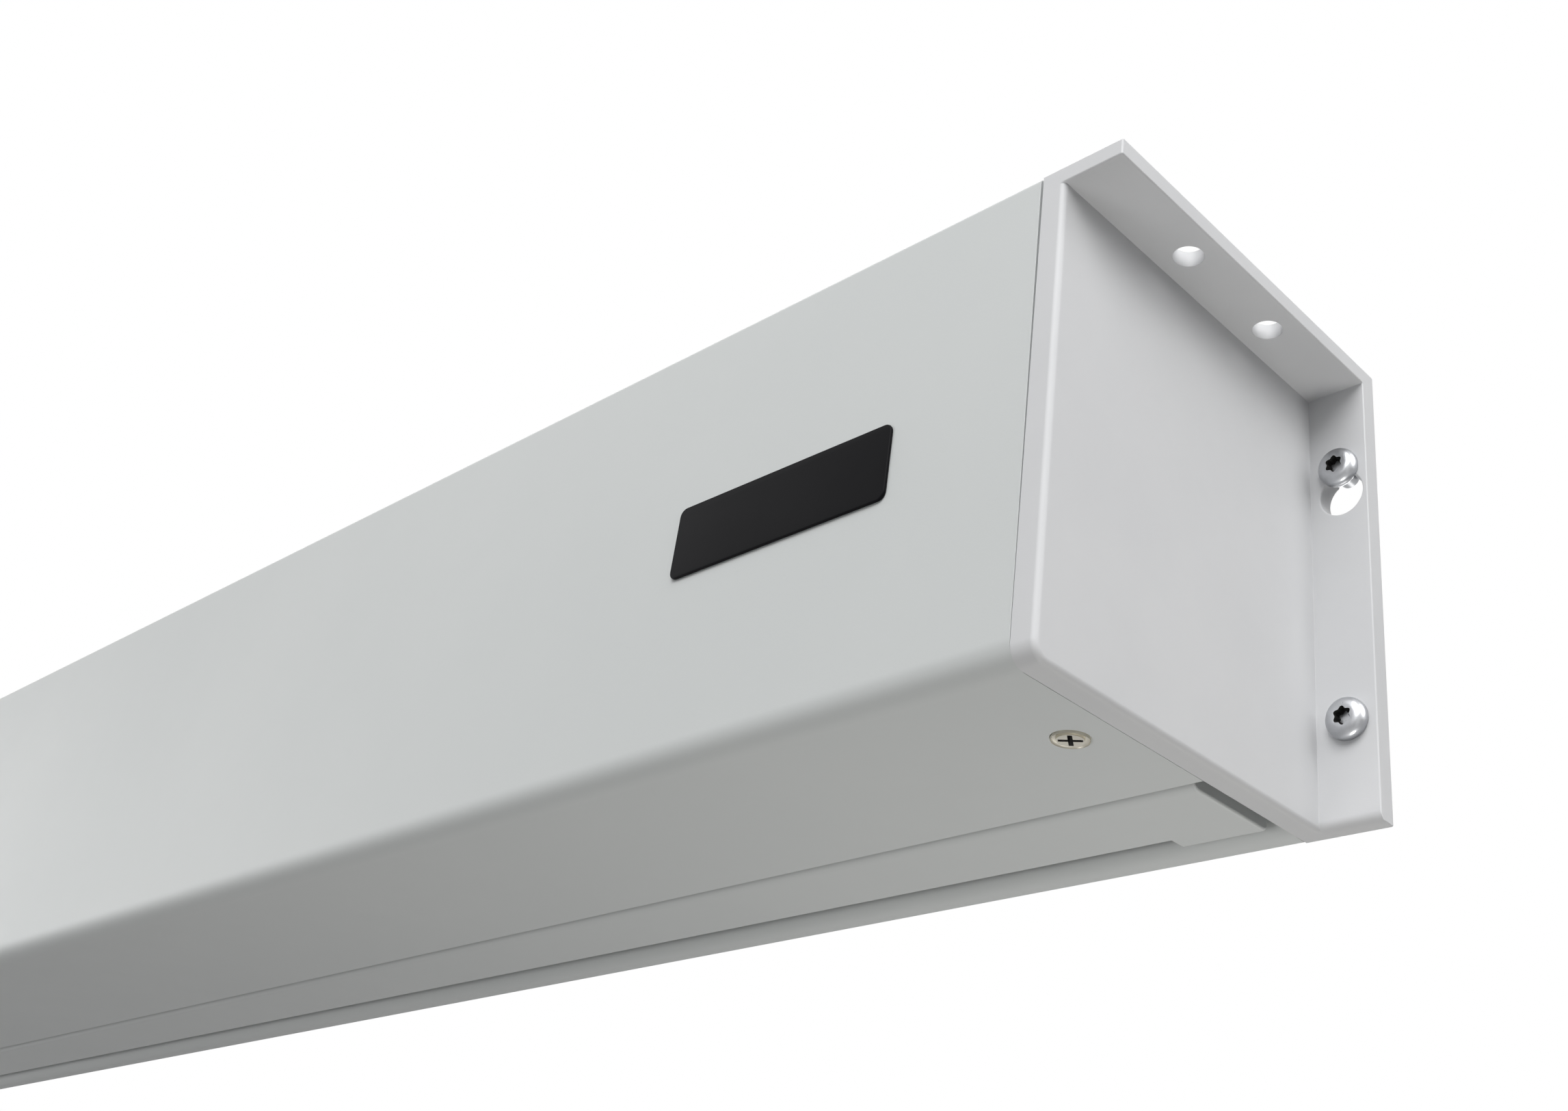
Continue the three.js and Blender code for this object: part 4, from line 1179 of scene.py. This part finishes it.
class SCREEN_OT_roller(bpy.types.Operator):
    """Finishes the roller: tube, cloth beading, plugs, drive wheel, shaft and clips"""

    bl_idname = "screen.roller"
    bl_label = "Roller"

    def execute(self, context):
        softened("roller_tube", "roller_extrusion", 0.2)
        finely_turned("tube_keder", "tube_beading", around=24)
        softened("idle_plug", "idle_plug_moulded")
        finely_turned("idle_bush", "idle_bush_moulded", bore=5.15)
        softened("crown_ring", "crown_ring_moulded")
        softened("drive_wheel", "drive_wheel_moulded")
        softened("output_shaft", "output_shaft_turned", 0.2)
        softened("shaft_clip", "shaft_clip_stamped", 0.15)
        return {"FINISHED"}


class SCREEN_OT_motor(bpy.types.Operator):
    """Finishes the tubular motor: head, tube, units inside it, and front bearing"""

    bl_idname = "screen.motor"
    bl_label = "Motor"

    def execute(self, context):
        softened("motor_head", "motor_head_moulded", 0.5, 3)
        finely_turned("motor_tube", "motor_tube_drawn", bore=16.3)
        finely_turned("motor_nose", "motor_nose_moulded", bore=6.15)
        finely_turned("run_capacitor", "run_capacitor_can", chamfer=1)
        finely_turned("motor_stator", "motor_stator_wound", chamfer=1)
        finely_turned("motor_brake", "motor_brake_turned", chamfer=0.6)
        finely_turned("gearbox", "gearbox_turned", chamfer=0.8)
        return {"FINISHED"}


class SCREEN_OT_brackets(bpy.types.Operator):
    """Finishes the steel brackets and the idle end's pin and clip"""

    bl_idname = "screen.brackets"
    bl_label = "Brackets and pin"

    def execute(self, context):
        softened("bearing_bracket", "bearing_bracket_stamped")
        softened("motor_bracket", "motor_bracket_stamped")
        softened("idle_pin", "idle_pin_turned", 0.25)
        softened("pin_clip", "pin_clip_stamped", 0.15)
        return {"FINISHED"}


class SCREEN_OT_wiring(bpy.types.Operator):
    """Finishes the terminal block with its screws, and the grommet"""

    bl_idname = "screen.wiring"
    bl_label = "Wiring"

    def execute(self, context):
        softened("terminal_block", "terminal_block_moulded", 0.4)
        for number in (1, 2, 3):
            node = f"terminal_screw_{number}"
            paint(softened(node, f"{node}_plated", 0.1), "Nickel plating")
        self.grommet()
        return {"FINISHED"}

    def grommet(self):
        """A round flange outside the cap and a smaller lip inside it, with a neck between them."""
        box = Box("cable_grommet")
        lip, flange = 8 * MM, 9 * MM
        neck, bore, edge = 6 * MM, 3.5 * MM, 1.5 * MM
        small = edge / 2
        inner, outer = box.size[0] / 2, -box.size[0] / 2
        arc = [(math.cos(t), math.sin(t)) for t in np.linspace(0, math.pi / 2, 7)]
        rings = [
            (flange, outer + edge),
            *[(flange - edge + edge * c, outer + edge - edge * s) for c, s in arc],
            (bore + small, outer), (bore, outer + small), (bore, inner - small), (bore + small, inner),
            *[(lip - small + small * s, inner - small + small * c) for c, s in arc],
            (lip, inner - edge), (neck, inner - edge), (neck, outer + edge), (flange, outer + edge),
        ]
        points, faces = turned(rings, box.middle, "x")
        keep_creases(new_piece("cable_grommet_moulded", (points, faces[:-2]), "cable_grommet"))


class SCREEN_OT_hidden_finishes(bpy.types.Operator):
    """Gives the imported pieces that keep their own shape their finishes"""

    bl_idname = "screen.hidden_finishes"
    bl_label = "Hidden pieces"

    def execute(self, context):
        for node, packed in frame["nodes"].items():
            if not packed.hide_render:
                paint(packed, FINISH_OF[SLOT_OF[node]])
        return {"FINISHED"}


# The stage


CAMERA_PLACE = (1.15168, -0.30369, -0.18586)
CAMERA_TURN = (120.353, -4.742, 40.6559)
CAMERA_LENS = 40.016
CAMERA_SHIFT = (-0.10635, -0.02147)
FLOOR_HEIGHT = -1.9
FLOOR_HALF = 30.0
FLOOR_GLOW = 0.42
SOFT_LIGHT = 0.15

RIGHT_END, MIDDLE, LEFT_END = (0.95, -0.05, 0), (0, -0.05, 0), (-0.95, -0.05, 0)
CLOTH_MIDDLE = (-0.1, 0, -0.95)
WIDE, BEAM = math.pi, math.radians(80)
WHITE, WARM = (1, 1, 1), (1, 0.985, 0.95)
# Most of the light falls from above on the right end, some weak light on the underside, and the rest
# on the cloth, the back and the left end. Each lamp has its name, its place, the place that it points
# at, its size in metres, its power in watts, its spread and its colour.
LAMPS = (
    ("near front lamp", (1.4, -1.1, 0.9), RIGHT_END, 1.2, 18.6, WIDE, WHITE),
    ("side lamp", (1.9, 0.0, 0.6), RIGHT_END, 1.1, 7.1, WIDE, WHITE),
    ("grazing lamp", (1.8, -0.8, -0.35), RIGHT_END, 0.8, 0.4, WIDE, WHITE),
    ("low rear lamp", (0.95, 0.5, -0.55), RIGHT_END, 0.4, 0.12, BEAM, WARM),
    ("low side lamp", (1.12, -0.03, -0.6), RIGHT_END, 0.25, 0.22, BEAM, WARM),
    ("low left lamp", (-1.12, -0.03, -0.6), LEFT_END, 0.25, 0.3, BEAM, WARM),
    ("cloth fill", (-0.2, -2.4, -1.15), CLOTH_MIDDLE, 1.4, 7, BEAM, WHITE),
    ("rear fill", (0, 2.8, 0.9), MIDDLE, 1.5, 45, WIDE, WHITE),
    ("left fill", (-2.4, -0.3, 0.5), LEFT_END, 1.2, 9, WIDE, WHITE),
)


def seen_ray(tree):
    """1 for what the camera sees straight on, in a reflection or through glass, and 0 for soft light."""
    path = tree.nodes.new("ShaderNodeLightPath")
    seen = math_node(tree, "MAXIMUM", path.outputs["Is Camera Ray"], path.outputs["Is Glossy Ray"])
    return math_node(tree, "MAXIMUM", seen, path.outputs["Is Transmission Ray"])


def mix_shaders(tree, factor, first, second, out):
    mix = tree.nodes.new("ShaderNodeMixShader")
    for socket, given in zip(mix.inputs, (factor, first.outputs[0], second.outputs[0])):
        tree.links.new(given, socket)
    tree.links.new(mix.outputs[0], out.inputs["Surface"])


class SCREEN_OT_stage(bpy.types.Operator):
    """Sets up the camera, the floor, the lamps and the white surroundings"""

    bl_idname = "screen.stage"
    bl_label = "Stage"

    def execute(self, context):
        self.camera(context)
        self.floor()
        for lamp in LAMPS:
            self.lamp(*lamp)
        self.world(context)
        context.scene.view_settings.view_transform = "Standard"
        return {"FINISHED"}

    def camera(self, context):
        lens = bpy.data.cameras.new("camera")
        lens.lens = CAMERA_LENS
        lens.shift_x, lens.shift_y = CAMERA_SHIFT
        lens.clip_start = 0.01
        camera = bpy.data.objects.new("camera", lens)
        camera.location = CAMERA_PLACE
        camera.rotation_euler = Euler([math.radians(a) for a in CAMERA_TURN], "XYZ")
        context.scene.collection.objects.link(camera)
        context.scene.camera = camera

    def floor(self):
        """Pale from above, with the object's shadow; from below it is clear, so that it hides nothing."""
        half = FLOOR_HALF
        corners = [(-half, -half), (half, -half), (half, half), (-half, half)]
        mesh = bpy.data.meshes.new("floor")
        mesh.from_pydata([(x, y, FLOOR_HEIGHT) for x, y in corners], [], [(0, 1, 2, 3)])
        floor = bpy.data.objects.new("floor", mesh)
        bpy.context.scene.collection.objects.link(floor)
        tree, shader = new_finish("Pale floor")
        seen = seen_ray(tree)
        dim = (SOFT_LIGHT, SOFT_LIGHT, SOFT_LIGHT, 1)
        pale = drifting(tree, (0.82, 0.82, 0.82), (0.8, 0.8, 0.8), 0.6)
        tree.links.new(mixed(tree, seen, dim, pale), shader.inputs["Base Color"])
        shader.inputs["Roughness"].default_value = 0.9
        shader.inputs["Emission Color"].default_value = (1, 1, 1, 1)
        tree.links.new(times(tree, seen, FLOOR_GLOW), shader.inputs["Emission Strength"])
        below = tree.nodes.new("ShaderNodeNewGeometry").outputs["Backfacing"]
        clear = tree.nodes.new("ShaderNodeBsdfTransparent")
        out = next(node for node in tree.nodes if node.type == "OUTPUT_MATERIAL")
        mix_shaders(tree, below, shader, clear, out)
        paint(floor, "Pale floor")

    def lamp(self, name, place, towards, size, power, spread, tint):
        light = bpy.data.lights.new(name, "AREA")
        light.shape = "DISK"
        light.size = size
        light.energy = power
        light.spread = spread
        light.color = tint
        lamp = bpy.data.objects.new(name, light)
        lamp.location = place
        aim = np.array(towards) - np.array(place)
        heading = math.atan2(aim[1], aim[0])
        tilt = math.atan2(aim[2], math.hypot(aim[0], aim[1]))
        lamp.rotation_euler = Euler((math.pi / 2 + tilt, 0, heading - math.pi / 2), "XYZ")
        lamp.visible_camera = False
        bpy.context.scene.collection.objects.link(lamp)

    def world(self, context):
        """Seen straight on or in a reflection the surroundings are white; their light is dimmer."""
        world = bpy.data.worlds.new("Surroundings")
        world.use_nodes = True
        context.scene.world = world
        tree = world.node_tree
        tree.nodes.clear()
        dim = add(tree, "ShaderNodeBackground", Color=(1, 1, 1, 1), Strength=SOFT_LIGHT)
        white = add(tree, "ShaderNodeBackground", Color=(1, 1, 1, 1), Strength=1.0)
        mix_shaders(tree, seen_ray(tree), dim, white, tree.nodes.new("ShaderNodeOutputWorld"))


# The panel


STEPS = (
    SCREEN_OT_case,
    SCREEN_OT_end_caps,
    SCREEN_OT_wall_screws,
    SCREEN_OT_cap_screws,
    SCREEN_OT_bracket_screws,
    SCREEN_OT_limit_screws,
    SCREEN_OT_nameplate,
    SCREEN_OT_weight_bar,
    SCREEN_OT_wound_cloth,
    SCREEN_OT_hanging_cloth,
    SCREEN_OT_roller,
    SCREEN_OT_motor,
    SCREEN_OT_brackets,
    SCREEN_OT_wiring,
    SCREEN_OT_hidden_finishes,
    SCREEN_OT_stage,
)


class SCREEN_PT_panel(bpy.types.Panel):
    """Lists the sizes, the colours and the steps in the sidebar"""

    bl_idname = "SCREEN_PT_panel"
    bl_label = "Projector screen"
    bl_space_type = "VIEW_3D"
    bl_region_type = "UI"
    bl_category = "Screen"

    def draw(self, context):
        layout = self.layout
        for group in (context.scene.screen_sizes, context.scene.screen_colours):
            column = layout.column(align=True)
            for name in group.__annotations__:
                column.prop(group, name)
        for step in STEPS:
            layout.operator(step.bl_idname)


CLASSES = (ScreenSizes, ScreenColours, *STEPS, SCREEN_PT_panel)


def register():
    for each in CLASSES:
        bpy.utils.register_class(each)
    bpy.types.Scene.screen_sizes = PointerProperty(type=ScreenSizes)
    bpy.types.Scene.screen_colours = PointerProperty(type=ScreenColours)


def unregister():
    del bpy.types.Scene.screen_colours
    del bpy.types.Scene.screen_sizes
    for each in reversed(CLASSES):
        bpy.utils.unregister_class(each)


def main():
    register()
    make_finishes(bpy.context)
    for step in STEPS:
        group, name = step.bl_idname.split(".")
        getattr(getattr(bpy.ops, group), name)()


if __name__ == "__main__":
    main()
